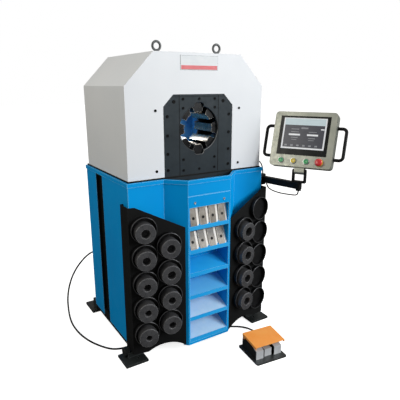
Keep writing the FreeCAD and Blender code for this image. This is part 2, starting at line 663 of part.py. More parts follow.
def make_shelf_box():
    """Sheet box behind the opening of the column."""
    body = new_body("shelf_box")
    outer = COL_HALF - WINDOW_EDGE + SHEET
    inner = COL_HALF - WINDOW_EDGE
    back = BOX_FRONT + BOX_DEEP
    pad(body, "Z", COL_LOW, WINDOW_TOP + SHEET, [rectangle(-outer, outer, BOX_FRONT, back)])
    pocket(body, "Y", BOX_FRONT, back - SHEET, [rectangle(-inner, inner, WINDOW_LOW, WINDOW_TOP)])
    pocket(body, "Z", COL_LOW, WINDOW_LOW - SHEET, [rectangle(-inner, inner, BOX_FRONT + SHEET, back - SHEET)])
    add_node(body, "shelf_box")


SHELF_BACK = BOX_FRONT + BOX_DEEP - SHEET - FIT
SHELF_TAN = sine(SHELF_SLOPE) / cosine(SHELF_SLOPE)


def shelf_surface(number):
    """Height of a shelf's surface just behind its lip."""
    return SHELF_FIRST + number * SHELF_PITCH + LIP_HIGH / 2 - LIP_OVER


def make_shelves():
    """Sloping shelves, each folded with a front lip."""
    body = new_body("shelf")
    front = COL_FRONT + FIT
    inside = front + SHELF_T
    top = shelf_surface(0)
    rise = (SHELF_BACK - inside) * SHELF_TAN
    profile = [(front, SHELF_FIRST - LIP_HIGH / 2), (front, SHELF_FIRST + LIP_HIGH / 2),
               (inside, SHELF_FIRST + LIP_HIGH / 2), (inside, top), (SHELF_BACK, top + rise),
               (SHELF_BACK, top + rise - SHELF_T), (inside, top - SHELF_T),
               (inside, SHELF_FIRST - LIP_HIGH / 2)]
    pad(body, "X", -SHELF_HALF, SHELF_HALF, [profile])
    doc.recompute()
    shapes = []
    for i in range(int(SHELF_COUNT.value)):
        shapes.append(moved(body.Shape, turned(0, 0, i * SHELF_PITCH, 0)))
    group("die_shelves", shapes)


def die_block(name, lean, shelf):
    """Faceted die block that stands on a sloping shelf and leans back."""
    body = new_body(name)
    front = COL_FRONT + FIT + SHELF_T + 1
    foot = shelf_surface(shelf) + FIT
    drop = (front - COL_FRONT - FIT - SHELF_T) * SHELF_TAN
    back_shift = BLOCK_LONG * sine(lean)
    height = BLOCK_LONG * cosine(lean)
    profile = [(front, foot + drop), (front + back_shift, foot + height),
               (front + back_shift + BLOCK_THICK, foot + height),
               (front + BLOCK_THICK, foot + drop + BLOCK_THICK * SHELF_TAN)]
    pad(body, "X", -BLOCK_WIDE / 2, BLOCK_WIDE / 2, [profile])
    hole_y = front + BLOCK_HOLE_Z * sine(lean)
    pocket(body, "Y", hole_y - BLOCK_THICK, hole_y + BLOCK_THICK / 2,
           [polygon(-BLOCK_FACET / 2, foot + drop + BLOCK_HOLE_Z * cosine(lean), BLOCK_HOLE, HOLE_SIDES)])
    facet_front = -BLOCK_WIDE
    pocket(body, "Z", foot - BLOCK_LONG, foot + BLOCK_LONG * 2,
           [[(BLOCK_WIDE / 2 + 1, front + facet_front), (BLOCK_WIDE / 2 + 1, front + BLOCK_FACET / 2),
             (BLOCK_WIDE / 2 - BLOCK_FACET, front + facet_front)]])
    return body


def make_die_blocks():
    """Four blocks on the top shelf and four on the next one."""
    top = int(SHELF_COUNT.value) - 1
    upper = die_block("upper_block", LEAN_UPPER, top)
    lower = die_block("lower_block", LEAN_LOWER, top - 1)
    doc.recompute()
    shapes = []
    for block in (upper, lower):
        for i in range(4):
            shapes.append(moved(block.Shape, turned((i - 1.5) * BLOCK_PITCH, 0, 0, 0)))
    group("shelf_die_blocks", shapes)


def rack_y(x):
    """Front face of a board at a distance from the middle."""
    return RACK_FRONT - (RACK_OUT - x) * RACK_SLOPE


def make_rack_board(side, name):
    """Black board, folded round the cabinet's corner, with a sloping top and an arch below."""
    body = new_body(name)
    back_step = SHEET / cosine(RACK_ANGLE)
    end = RACK_FRONT + RACK_RETURN
    corners = [(RACK_IN, rack_y(RACK_IN)), (RACK_OUT, RACK_FRONT), (RACK_OUT, end), (CAB_HALF, end),
               (CAB_HALF, end - SHEET), (RACK_OUT - SHEET, end - SHEET),
               (RACK_OUT - SHEET, rack_y(RACK_OUT - SHEET) + back_step),
               (RACK_IN, rack_y(RACK_IN) + back_step)]
    pad(body, "Z", RACK_LOW, RACK_TOP, [[(x * side, y) for x, y in corners]])
    front = rack_y(RACK_IN) - 10
    above = RACK_TOP + 5
    slope = (RACK_TOP - RACK_TOP_IN) / (RACK_SHOULDER - RACK_IN)
    pocket(body, "Y", front, end + 1,
           [[((RACK_IN - 5) * side, above), (RACK_SHOULDER * side, above), (RACK_SHOULDER * side, RACK_TOP),
             ((RACK_IN - 5) * side, RACK_TOP_IN - 5 * slope)]])
    pocket(body, "Y", front, end + 1, [(ARCH_X * side, ARCH_Z, ARCH_R)])
    pocket(body, "Y", front, end + 1,
           [rectangle((ARCH_X + 60) * side, (RACK_OUT + 5) * side, RACK_LOW - 5, RACK_LOW_OUT)])
    add_node(body, name)


def holder_places():
    """Middle of each holder: the outer column first, each from the bottom up."""
    outer = [(CUP_OUT_X.value, CUP_OUT_Z.value + i * CUP_PITCH.value) for i in range(5)]
    inner = [(CUP_IN_X.value, CUP_IN_Z.value + i * CUP_PITCH.value) for i in range(4)]
    return outer + inner


def on_board(x, z, side):
    """Placement on a board's face, with local -Y pointing away from the board."""
    y = RACK_FRONT.value - (RACK_OUT.value - x) * RACK_SLOPE.value
    return turned(x * side, y, z, RACK_ANGLE.value * side)


def make_holder():
    """Many-sided cup with a locating pin."""
    body = new_body("die_holder")
    zero = Size(0, "0")
    pad(body, "Y", -CUP_DEEP, zero, [polygon(zero, zero, CUP_R, CUP_SIDES)])
    pocket(body, "Y", -CUP_DEEP, -CUP_BASE, [polygon(zero, zero, CUP_R - CUP_WALL, CUP_SIDES)])
    pin_z = CUP_R - CUP_WALL - CUP_PIN_R * 2
    pad(body, "Y", -CUP_BASE - CUP_PIN_LONG, -CUP_BASE / 2, [polygon(zero, pin_z, CUP_PIN_R, SCREW_SIDES)])
    return body


def make_die_set(name, bore):
    """Eight nested segments, drawn as one ring."""
    zero = Size(0, "0")
    return solid(name, "Y", -CUP_BASE - SET_LONG, -CUP_BASE,
                 [polygon(zero, zero, SET_R, CUP_SIDES), polygon(zero, zero, bore, HOLE_SIDES)])


def make_holders_and_sets():
    """Nine holders on each board; the right board's outer column is empty."""
    holder = make_holder()
    sets = [make_die_set("die_set_%d" % i, SET_BORE_LOW + i * SET_BORE_STEP) for i in range(5)]
    doc.recompute()
    rest = (CUP_WALL.value - CUP_R.value + SET_R.value) * math.cos(math.pi / CUP_SIDES)
    for name, side in (("left", -1), ("right", 1)):
        places = holder_places()
        group(name + "_die_holders", [moved(holder.Shape, on_board(x, z, side)) for x, z in places])
        shapes = []
        for i, (x, z) in enumerate(places):
            outer = i < 5
            if side > 0 and outer:
                continue
            ring = sets[i if outer else i - 5].Shape
            shapes.append(moved(ring, on_board(x, z + rest, side)))
        group(name + "_die_sets", shapes)


def make_head_housing():
    """White sheet housing with cut-off top corners, open below, cut out for the face plates."""
    body = new_body("head_housing")
    profile = [(-HEAD_HALF, HEAD_LOW), (HEAD_HALF, HEAD_LOW), (HEAD_HALF, HEAD_SHOULDER),
               (HEAD_TOP_HALF, HEAD_TOP), (-HEAD_TOP_HALF, HEAD_TOP), (-HEAD_HALF, HEAD_SHOULDER)]
    block = pad(body, "Y", HEAD_FRONT, HEAD_BACK, [profile])
    doc.recompute()
    shell = body.newObject("PartDesign::Thickness", "head_shell")
    faces = [i for i, face in enumerate(block.Shape.Faces) if face.normalAt(0, 0).z < -0.99]
    shell.Base = (block, ["Face%d" % (i + 1) for i in faces])
    shell.Value = HEAD_WALL.value
    shell.setExpression("Value", HEAD_WALL.text)
    shell.Reversed = True
    doc.recompute()
    gap = SEAM_GAP
    opening = [(-FACE_HALF - gap, HEAD_LOW - 1), (FACE_HALF + gap, HEAD_LOW - 1),
               (FACE_HALF + gap, FACE_SHOULDER), (FACE_TOP_HALF, FACE_TOP + gap),
               (-FACE_TOP_HALF, FACE_TOP + gap), (-FACE_HALF - gap, FACE_SHOULDER)]
    pocket(body, "Y", HEAD_FRONT - 1, HEAD_FRONT + HEAD_WALL + 1, [opening])
    pocket(body, "Y", HEAD_BACK - HEAD_WALL - 1, HEAD_BACK + 1, [(Size(0, "0"), BORE_Z, REAR_HOLE)])
    pocket(body, "X", HEAD_HALF - HEAD_WALL - 1, HEAD_HALF + 1, [(WIRE_Y, WIRE_Z, WIRE_R + FIT)])
    add_node(body, "head_housing")


def make_liner():
    """Blue guard tunnel behind the dies, with a rear wall that long hoses pass through."""
    body = new_body("guard_tunnel")
    start = PRESS_FRONT + PRESS_DEEP + GUIDE_T
    low = HEAD_LOW
    pad(body, "Y", start, LINER_BACK, [rectangle(-LINER_HALF, LINER_HALF, low, LINER_TOP)])
    pocket(body, "Y", start, LINER_BACK - LINER_T,
           [rectangle(-LINER_HALF + LINER_T, LINER_HALF - LINER_T, low + LINER_T, LINER_TOP - LINER_T)])
    pocket(body, "Y", LINER_BACK - LINER_T - 1, LINER_BACK + 1, [(Size(0, "0"), BORE_Z, REAR_HOLE)])
    add_node(body, "guard_tunnel")


FACE_FRONT = PRESS_FRONT - FACE_T


def face_notches(body, start, end):
    """Notches above and below the throat."""
    for up in (-1, 1):
        near = BORE_Z + up * (THROAT_R - NOTCH_DEEP)
        far = BORE_Z + up * (THROAT_R + NOTCH_DEEP)
        pocket(body, "Y", start, end, [rectangle(-NOTCH_HALF, NOTCH_HALF, near, far)])


def make_face_plates():
    """Centre plate with the throat, and one dark plate on each side of it."""
    zero = Size(0, "0")
    half = FACE_SEAM - SEAM_GAP / 2
    centre = solid("centre_face_plate", "Y", FACE_FRONT, PRESS_FRONT,
                   [rectangle(-half, half, FACE_LOW, FACE_TOP), (zero, BORE_Z, THROAT_R)])
    face_notches(centre, FACE_FRONT - 1, PRESS_FRONT + 1)
    add_node(centre, "centre_face_plate")
    near = FACE_SEAM + SEAM_GAP / 2
    side = solid("side_face_plate", "Y", FACE_FRONT, PRESS_FRONT,
                 [[(near, FACE_LOW), (FACE_HALF, FACE_LOW), (FACE_HALF, FACE_SHOULDER),
                   (FACE_TOP_HALF, FACE_TOP), (near, FACE_TOP)]])
    doc.recompute()
    group("side_face_plates", [side.Shape, mirrored(side.Shape)])
    back = PRESS_FRONT + PRESS_DEEP
    rear = solid("rear_guide_plate", "Y", back, back + GUIDE_T,
                 [rectangle(-FRAME_IN - 20, FRAME_IN + 20, HEAD_LOW, FACE_TOP + 30), (zero, BORE_Z, THROAT_R)])
    face_notches(rear, back - 1, back + GUIDE_T + 1)
    add_node(rear, "rear_guide_plate")


# Half of the inner outline of a beam: seat, roof plane and wedge plane, from the centre
ROOF = SEAT * cosine(HALF_STEP) + SEAT_HALF * sine(HALF_STEP)
PEAK = ROOF / (cosine(HALF_STEP) + sine(HALF_STEP))


def beam_profile(up, half):
    """Outline of a beam above (up = 1) or below (up = -1) the crimping centre."""
    right = [(half, BEAM_HIGH), (half, BEAM_LIP), (2 * PEAK - BEAM_LIP, BEAM_LIP), (PEAK, PEAK),
             (SEAT_HALF, SEAT)]
    left = [(-x, z) for x, z in reversed(right)]
    return [(x, BORE_Z + up * z) for x, z in right + left]


def make_press_frame():
    """Heavy frame with legs; its window holds the beams and its sill carries the cylinder."""
    body = new_body("press_frame")
    back = PRESS_FRONT + PRESS_DEEP
    outline = [(-FRAME_HALF, RAIL_HIGH), (-FRAME_IN, RAIL_HIGH), (-FRAME_IN, FRAME_SILL),
               (FRAME_IN, FRAME_SILL), (FRAME_IN, RAIL_HIGH), (FRAME_HALF, RAIL_HIGH),
               (FRAME_HALF, FRAME_TOP), (-FRAME_HALF, FRAME_TOP)]
    window_low = BORE_Z - BEAM_HIGH - RUN
    window = rectangle(-FRAME_IN, FRAME_IN, window_low, BORE_Z + BEAM_HIGH)
    pad(body, "Y", PRESS_FRONT, back, [outline, window])
    middle = (PRESS_FRONT + back) / 2
    pocket(body, "Z", FRAME_SILL - 1, window_low + 1, [(Size(0, "0"), middle, PISTON_R + RUN)])
    add_node(body, "press_frame")


MOVE_FRONT = PRESS_FRONT + RUN
MOVE_BACK = PRESS_FRONT + PRESS_DEEP - RUN


def make_beams():
    """Fixed upper beam and the lower beam that the cylinder lifts."""
    upper = solid("upper_beam", "Y", PRESS_FRONT, PRESS_FRONT + PRESS_DEEP, [beam_profile(1, FRAME_IN)])
    add_node(upper, "upper_beam")
    lower = solid("lower_beam", "Y", MOVE_FRONT, MOVE_BACK, [beam_profile(-1, FRAME_IN - RUN)])
    add_node(lower, "lower_beam")


def make_wedges():
    """Side wedges that the closing beams push inwards."""
    slack = RUN * 1.5
    near = (ROOF - WEDGE_TOP * sine(HALF_STEP)) / cosine(HALF_STEP)
    upper = [(SEAT, SEAT_HALF), (near, WEDGE_TOP), (2 * PEAK - WEDGE_TOP - slack, WEDGE_TOP),
             (2 * PEAK - WEDGE_TIP - slack, WEDGE_TIP)]
    lower = [(x, -z) for x, z in reversed(upper)]
    for name, side in (("left_wedge", -1), ("right_wedge", 1)):
        profile = [(x * side, BORE_Z + z) for x, z in upper + lower]
        add_node(solid(name, "Y", MOVE_FRONT, MOVE_BACK, [profile]), name)


def make_die(name, angle, roofed):
    """One die, drawn pointing up and then turned to its place round the centre."""
    body = new_body(name)
    tan_half = sine(HALF_STEP) / cosine(HALF_STEP)

    def flank(r):
        return (r - CLOSE) * tan_half - RUN

    if roofed:
        face = ROOF - RUN
        shoulder = ((face / cosine(HALF_STEP)) + (CLOSE * tan_half + RUN) * tan_half)
        shoulder = shoulder / (1 + tan_half * tan_half)
        peak = face / cosine(HALF_STEP)
        low_x = flank(shoulder) - DIE_CUT * sine(HALF_STEP)
        low_z = shoulder - DIE_CUT * cosine(HALF_STEP)
        high_x = flank(shoulder) - DIE_CUT * cosine(HALF_STEP)
        high_z = shoulder + DIE_CUT * sine(HALF_STEP)
        top = [(low_x, low_z), (high_x, high_z), (0 * CLOSE, peak), (-high_x, high_z), (-low_x, low_z)]
    else:
        top = [(flank(SEAT), SEAT), (-flank(SEAT), SEAT)]
    profile = [(flank(DIE_ROOT), DIE_ROOT)] + top + [(-flank(DIE_ROOT), DIE_ROOT)]
    pad(body, "Y", MOVE_FRONT, MOVE_BACK, [profile])
    pocket(body, "Y", MOVE_FRONT - 1, MOVE_BACK + 1, [(Size(0, "0"), CLOSE, DIE_R)])
    body.Placement = turned(0, 0, BORE_Z, 90 - angle, V(0, 1, 0))
    add_node(body, name)


def make_dies():
    names = ("right_die", "upper_right_die", "top_die", "upper_left_die",
             "left_die", "lower_left_die", "bottom_die", "lower_right_die")
    for i, name in enumerate(names):
        make_die(name, 45 * i, roofed=(i % 2 == 1))


def make_cylinder():
    """Lifting cylinder under the sill, and its piston rod up to the lower beam."""
    zero = Size(0, "0")
    middle = PRESS_FRONT + PRESS_DEEP / 2
    cylinder = new_body("lift_cylinder")
    pad(cylinder, "Z", CYL_LOW, FRAME_SILL, [polygon(zero, middle, CYL_R, CUP_SIDES)])
    pocket(cylinder, "Z", PISTON_LOW - 10, FRAME_SILL, [(zero, middle, PISTON_R + RUN)])
    add_node(cylinder, "lift_cylinder")
    piston = solid("lift_piston", "Z", PISTON_LOW, BORE_Z - BEAM_HIGH, [(zero, middle, PISTON_R)])
    add_node(piston, "lift_piston")


def make_power_unit():
    """Oil tank on the base frame, with the upright motor and pump on its lid."""
    tank = new_body("oil_tank")
    pad(tank, "Z", RAIL_HIGH, TANK_TOP, [rectangle(-TANK_HALF, TANK_HALF, TANK_FRONT, TANK_BACK)])
    over = TANK_LID_OVER
    pad(tank, "Z", TANK_TOP, TANK_TOP + TANK_LID,
        [rectangle(-TANK_HALF - over, TANK_HALF + over, TANK_FRONT - over, TANK_BACK + over)])
    add_node(tank, "oil_tank")
    motor = new_body("pump_motor")
    low = TANK_TOP + TANK_LID
    start = low + MOTOR_FLANGE
    end = start + MOTOR_LONG
    pad(motor, "Z", low, start, [polygon(MOTOR_X, MOTOR_Y, MOTOR_FLANGE_R, CUP_SIDES)])
    pad(motor, "Z", start, end, [polygon(MOTOR_X, MOTOR_Y, MOTOR_R, CUP_SIDES)])
    pad(motor, "Z", end, end + MOTOR_HOOD, [polygon(MOTOR_X, MOTOR_Y, MOTOR_HOOD_R, CUP_SIDES)])
    add_node(motor, "pump_motor")


def make_eyebolts():
    """Two lifting eyes on the head, each a ring on a collar."""
    body = new_body("lifting_eye")
    centre = HEAD_TOP + EYE_FOOT + EYE_RING_R + EYE_BAR_R - 2
    pad(body, "Z", HEAD_TOP, HEAD_TOP + EYE_FOOT, [polygon(EYE_X, EYE_Y, EYE_FOOT_R, HOLE_SIDES)])
    pad(body, "Y", EYE_Y - EYE_BAR_R, EYE_Y + EYE_BAR_R,
        [polygon(EYE_X, centre, EYE_RING_R + EYE_BAR_R, CUP_SIDES),
         polygon(EYE_X, centre, EYE_RING_R - EYE_BAR_R, CUP_SIDES)])
    doc.recompute()
    group("lifting_eyes", [body.Shape, mirrored(body.Shape)])


ARM_LOW = BRACKET_LOW + LUG_T + RUN
ARM_HIGH = BRACKET_HIGH - LUG_T - RUN


def make_arm_bracket():
    """Bracket on the right side of the cabinet, with two lugs and the pivot pin."""
    body = new_body("arm_bracket")
    low_y = PIVOT_Y - BRACKET_HALF
    high_y = PIVOT_Y + BRACKET_HALF
    face = CAB_HALF + BRACKET_T
    pad(body, "Z", BRACKET_LOW, BRACKET_HIGH, [rectangle(CAB_HALF, face, low_y, high_y)])
    for start in (BRACKET_LOW, BRACKET_HIGH - LUG_T):
        pad(body, "Z", start, start + LUG_T,
            [rectangle(face - 1, PIVOT_X, PIVOT_Y - LUG_R, PIVOT_Y + LUG_R)])
        pad(body, "Z", start, start + LUG_T, [polygon(PIVOT_X, PIVOT_Y, LUG_R, CUP_SIDES)])
    pad(body, "Z", BRACKET_LOW, BRACKET_HIGH, [(PIVOT_X, PIVOT_Y, ARM_PIN_R)])
    add_node(body, "arm_bracket")


def make_arm():
    """Flat arm between the bracket's pivot and the yoke's pivot, drawn along +X."""
    body = new_body("panel_arm")
    zero = Size(0, "0")
    half = ARM_WIDE / 2
    pad(body, "Z", ARM_LOW, ARM_HIGH, [rectangle(zero, ARM_LONG, -half, half)])
    for x in (zero, ARM_LONG):
        pad(body, "Z", ARM_LOW, ARM_HIGH, [polygon(x, zero, half + 2, CUP_SIDES)])
    for x in (zero, ARM_LONG):
        pocket(body, "Z", ARM_LOW, ARM_HIGH, [(x, zero, ARM_PIN_R + PIN_FIT)])
    body.Placement = turned(PIVOT_X, PIVOT_Y, 0, ARM_TURN)
    add_node(body, "panel_arm")


def elbow():
    """Point on the floor under the yoke's pivot."""
    angle = math.radians(ARM_TURN.value)
    x = PIVOT_X.value + ARM_LONG.value * math.cos(angle)
    y = PIVOT_Y.value + ARM_LONG.value * math.sin(angle)
    return V(x, y, 0)


TILT_Z = ARM_HIGH + YOKE_HIGH


def make_yoke():
    """Yoke on the arm's end: a foot with a pin down through the arm, two cheeks and the tilt pin."""
    body = new_body("panel_yoke")
    zero = Size(0, "0")
    base = ARM_HIGH + RUN
    outer = YOKE_HALF + YOKE_T
    pad(body, "Z", base, base + YOKE_T, [rectangle(-outer, outer, -YOKE_R, YOKE_R)])
    pad(body, "Z", ARM_LOW - RUN, base, [(zero, zero, ARM_PIN_R)])
    pad(body, "Z", ARM_LOW - RUN - YOKE_T, ARM_LOW - RUN, [polygon(zero, zero, ARM_WIDE / 2, CUP_SIDES)])
    for side in (-1, 1):
        start, end = (YOKE_HALF, outer) if side > 0 else (-outer, -YOKE_HALF)
        pad(body, "X", start, end, [rectangle(-YOKE_R, YOKE_R, base, TILT_Z)])
        pad(body, "X", start, end, [polygon(zero, TILT_Z, YOKE_R, CUP_SIDES)])
    pad(body, "X", -outer, outer, [(zero, TILT_Z, TILT_PIN_R)])
    point = elbow()
    body.Placement = turned(point.x, point.y, 0, PANEL_TURN)
    add_node(body, "panel_yoke")


def panel_placement():
    """Place of the panel's own frame: its tilt axis, turned and tilted back."""
    point = elbow()
    turn = FreeCAD.Rotation(PANEL_TURN.value, 0, -PANEL_TILT.value)
    return FreeCAD.Placement(V(point.x, point.y, TILT_Z.value), turn)


CASE_FRONT = -CASE_DEEP / 2
BUTTON_Z = CASE_RISE + BUTTON_RISE


def button_x(number):
    return BUTTON_PITCH * (number - 1.5)


def make_panel_case():
    """Panel case with glass recess, button holes with collars, and the lug of the tilt hinge."""
    zero = Size(0, "0")
    body = new_body("panel_case")
    back = CASE_DEEP / 2
    block = pad(body, "Y", CASE_FRONT, back,
                [rectangle(-CASE_HALF, CASE_HALF, CASE_RISE, CASE_RISE + CASE_HIGH)])
    round_edges(body, block, CASE_CORNER, V(0, 1, 0))
    glass_low = CASE_RISE + GLASS_RISE
    pocket(body, "Y", CASE_FRONT, CASE_FRONT + GLASS_T,
           [rectangle(-GLASS_HALF - FIT, GLASS_HALF + FIT, glass_low - FIT, glass_low + GLASS_HIGH + FIT)])
    for i in range(3):
        pad(body, "Y", CASE_FRONT - COLLAR_HIGH, CASE_FRONT + 1,
            [polygon(button_x(i), BUTTON_Z, COLLAR_R, CUP_SIDES)])
        pocket(body, "Y", CASE_FRONT - COLLAR_HIGH, CASE_FRONT,
               [polygon(button_x(i), BUTTON_Z, COLLAR_IN, CUP_SIDES)])
    for i in range(4):
        pocket(body, "Y", CASE_FRONT - 1, CASE_FRONT + HOLE_DEEP,
               [polygon(button_x(i), BUTTON_Z, STEM_HOLE, HOLE_SIDES)])
    lug = YOKE_HALF - RUN
    pad(body, "X", -lug, lug, [rectangle(-YOKE_R + 1, YOKE_R - 1, zero, CASE_RISE + 1)])
    pad(body, "X", -lug, lug, [polygon(zero, zero, YOKE_R - 1, CUP_SIDES)])
    pocket(body, "X", -lug, lug, [(zero, zero, TILT_PIN_R + PIN_FIT)])
    body.Placement = panel_placement()
    add_node(body, "panel_case")
    glass = solid("touch_glass", "Y", CASE_FRONT, CASE_FRONT + GLASS_T,
                  [rectangle(-GLASS_HALF, GLASS_HALF, glass_low, glass_low + GLASS_HIGH)])
    glass.Placement = panel_placement()
    add_node(glass, "touch_glass")


def make_buttons():
    """Three push buttons and the mushroom-headed emergency stop."""
    for i, name in enumerate(("start_button", "mode_button", "open_button")):
        body = new_body(name)
        pad(body, "Y", CASE_FRONT - CAP_LOW, CASE_FRONT + STEM_LONG,
            [polygon(button_x(i), BUTTON_Z, STEM_R, HOLE_SIDES)])
        pad(body, "Y", CASE_FRONT - CAP_LOW - CAP_HIGH, CASE_FRONT - CAP_LOW,
            [polygon(button_x(i), BUTTON_Z, CAP_R, HOLE_SIDES)])
        body.Placement = panel_placement()
        add_node(body, name)
    stop = new_body("emergency_stop")
    pad(stop, "Y", CASE_FRONT - STOP_GAP, CASE_FRONT + STEM_LONG,
        [polygon(button_x(3), BUTTON_Z, STEM_R, HOLE_SIDES)])
    pad(stop, "Y", CASE_FRONT - STOP_GAP - STOP_HIGH, CASE_FRONT - STOP_GAP,
        [polygon(button_x(3), BUTTON_Z, STOP_R, CUP_SIDES)])
    stop.Placement = panel_placement()
    add_node(stop, "emergency_stop")


def bent_path(points, radii):
    """Straight runs joined by tangent arcs, with the radius of each inner corner given."""
    edges = []
    start = points[0]
    for i in range(1, len(points) - 1):
        before = (points[i] - points[i - 1]).normalize()
        after = (points[i + 1] - points[i]).normalize()
        turn = before.getAngle(after)
        reach = radii[i - 1] * math.tan(turn / 2)
        first = points[i] - before * reach
        last = points[i] + after * reach
        inward = (after - before).normalize()
        centre = points[i] + inward * (radii[i - 1] / math.cos(turn / 2))
        middle = centre - inward * radii[i - 1]
        edges.append(Part.LineSegment(start, first).toShape())
        edges.append(Part.Arc(first, middle, last).toShape())
        start = last
    edges.append(Part.LineSegment(start, points[-1]).toShape())
    return Part.Wire(edges)


def tube(path, radius):
    """Eight-sided bar along a path."""
    first = path.Edges[0]
    start = first.valueAt(first.FirstParameter)
    along = first.tangentAt(first.FirstParameter)
    across = along.cross(V(0, 1, 0) if abs(along.y) < 0.5 else V(0, 0, 1)).normalize()
    other = along.cross(across)
    corners = []
    for i in range(SCREW_SIDES):
        angle = 2 * math.pi * (i + 0.5) / SCREW_SIDES
        corners.append(start + across * (radius * math.cos(angle)) + other * (radius * math.sin(angle)))
    profile = Part.makePolygon(corners + corners[:1])
    return path.makePipeShell([profile], True, False)


def make_handles():
    """Bent bar handle on each side of the panel case."""
    side = CASE_HALF.value
    reach = side + GRIP_OUT.value
    low = CASE_RISE.value + GRIP_LOW.value
    high = CASE_RISE.value + GRIP_HIGH.value
    points = [V(side, 0, low), V(reach, 0, low), V(reach, 0, high), V(side, 0, high)]
    right = tube(bent_path(points, [GRIP_BEND.value] * 2), GRIP_R.value)
    shapes = [moved(shape, panel_placement()) for shape in (right, mirrored(right))]
    group("panel_handles", shapes)


def pedal_placement():
    return turned(PEDAL_X, PEDAL_Y, 0, PEDAL_TURN)


def make_pedal_base():
    """Pedal base: plate, two cheeks, the switch box between them and the hinge pin."""
    body = new_body("pedal_base")
    zero = Size(0, "0")
    plate = pad(body, "Z", zero, BASE_T, [rectangle(-BASE_HALF, BASE_HALF, -BASE_LONG, BASE_LONG)])
    round_edges(body, plate, BASE_CORNER, V(0, 0, 1))
    ear = HINGE_Z
    profile = [(CHEEK_FRONT, BASE_T - 1), (CHEEK_BACK, BASE_T - 1), (CHEEK_BACK, CHEEK_LOW_TOP),
               (HINGE_Y + CHEEK_EAR_R, ear), (HINGE_Y - CHEEK_EAR_R, ear), (CHEEK_FRONT, CHEEK_LOW_TOP)]
    for side in (-1, 1):
        start, end = (CHEEK_IN, CHEEK_OUT) if side > 0 else (-CHEEK_OUT, -CHEEK_IN)
        pad(body, "X", start, end, [profile])
        pad(body, "X", start, end, [polygon(HINGE_Y, HINGE_Z, CHEEK_EAR_R, HOLE_SIDES)])
    pad(body, "Z", BASE_T - 1, SWITCH_HIGH,
        [rectangle(-SWITCH_HALF, SWITCH_HALF, CHEEK_FRONT + 8, CHEEK_BACK)])
    pad(body, "Z", BASE_T - 1, SWITCH_HIGH - 12,
        [rectangle(-CHEEK_OUT, CHEEK_OUT, CHEEK_BACK - 12, CHEEK_BACK)])
    pad(body, "X", -TREAD_HALF, TREAD_HALF, [(HINGE_Y, HINGE_Z, HINGE_R)])
    body.Placement = pedal_placement()
    add_node(body, "pedal_base")


def make_treadle():
    """Sloping treadle plate with side skirts and ears on the hinge pin."""
    body = new_body("pedal_treadle")
    slope = (TREAD_HIGH_BACK - TREAD_HIGH_FRONT) / (TREAD_BACK - TREAD_FRONT)
    top = [(TREAD_FRONT, TREAD_HIGH_FRONT), (TREAD_BACK, TREAD_HIGH_BACK)]
    plate = top + [(TREAD_BACK, TREAD_HIGH_BACK - TREAD_T), (TREAD_FRONT, TREAD_HIGH_FRONT - TREAD_T)]
    pad(body, "X", -TREAD_HALF, TREAD_HALF, [plate])
    skirt = top + [(TREAD_BACK, TREAD_HIGH_BACK - SKIRT), (TREAD_FRONT, TREAD_HIGH_FRONT - SKIRT)]
    ear_top = TREAD_HIGH_BACK - (TREAD_BACK - HINGE_Y) * slope - 1
    for side in (-1, 1):
        outer = TREAD_HALF - FIT
        inner = TREAD_HALF - TREAD_T
        start, end = (inner, outer) if side > 0 else (-outer, -inner)
        pad(body, "X", start, end, [skirt])
        pad(body, "X", start, end, [rectangle(HINGE_Y - EAR_R, HINGE_Y + EAR_R, HINGE_Z, ear_top)])
        pad(body, "X", start, end, [polygon(HINGE_Y, HINGE_Z, EAR_R, HOLE_SIDES)])
        pocket(body, "X", start, end, [(HINGE_Y, HINGE_Z, HINGE_R + PIN_FIT)])
    body.Placement = pedal_placement()
    add_node(body, "pedal_treadle")


# Route of the pedal cord, from the gland on the pedal, over the floor and under the machine,
# round the left side and up to the gland in the back panel
CORD_POINTS = [
    V(275.2, -530.9, 34), V(294, -474, 13), V(286, -418, 6), V(244, -375, 5.2), V(176, -341, 5.2),
    V(82, -314, 5.2), V(-28, -287, 5.2), V(-142, -258, 5.2), V(-250, -232, 5.2), V(-346, -216, 5.2),
    V(-424, -222, 5.2), V(-484, -196, 5.2), V(-530, -126, 5.2), V(-566, -44, 5.2), V(-588, 54, 5.2),
    V(-594, 152, 5.2), V(-590, 232, 9), V(-584, 288, 52), V(-574, 322, 124), V(-548, 342, 204),
    V(-506, 352, 280), V(-446, 352, 346), V(-398, 335, 386), V(-385, 303, 395),
]
CORD_STRETCH = 0.45


def make_cord(label, points, radius):
    """Plain tube along a route, and its length and bend radii in the log."""
    radii = []
    for i in range(1, len(points) - 1):
        before = points[i] - points[i - 1]
        after = points[i + 1] - points[i]
        turn = before.getAngle(after)
        radii.append(CORD_STRETCH * min(before.Length, after.Length) / math.tan(turn / 2))
    path = bent_path(points, radii)
    shape = tube(path, radius)
    item = doc.addObject("Part::Feature", label)
    item.Shape = shape
    add_node(item, label)
    area = SCREW_SIDES / 2 * radius ** 2 * math.sin(2 * math.pi / SCREW_SIDES)
    print(label, "length", round(path.Length), "smallest radii", [round(r) for r in sorted(radii)[:4]],
          "volume ratio", round(shape.Volume / (area * path.Length), 4))


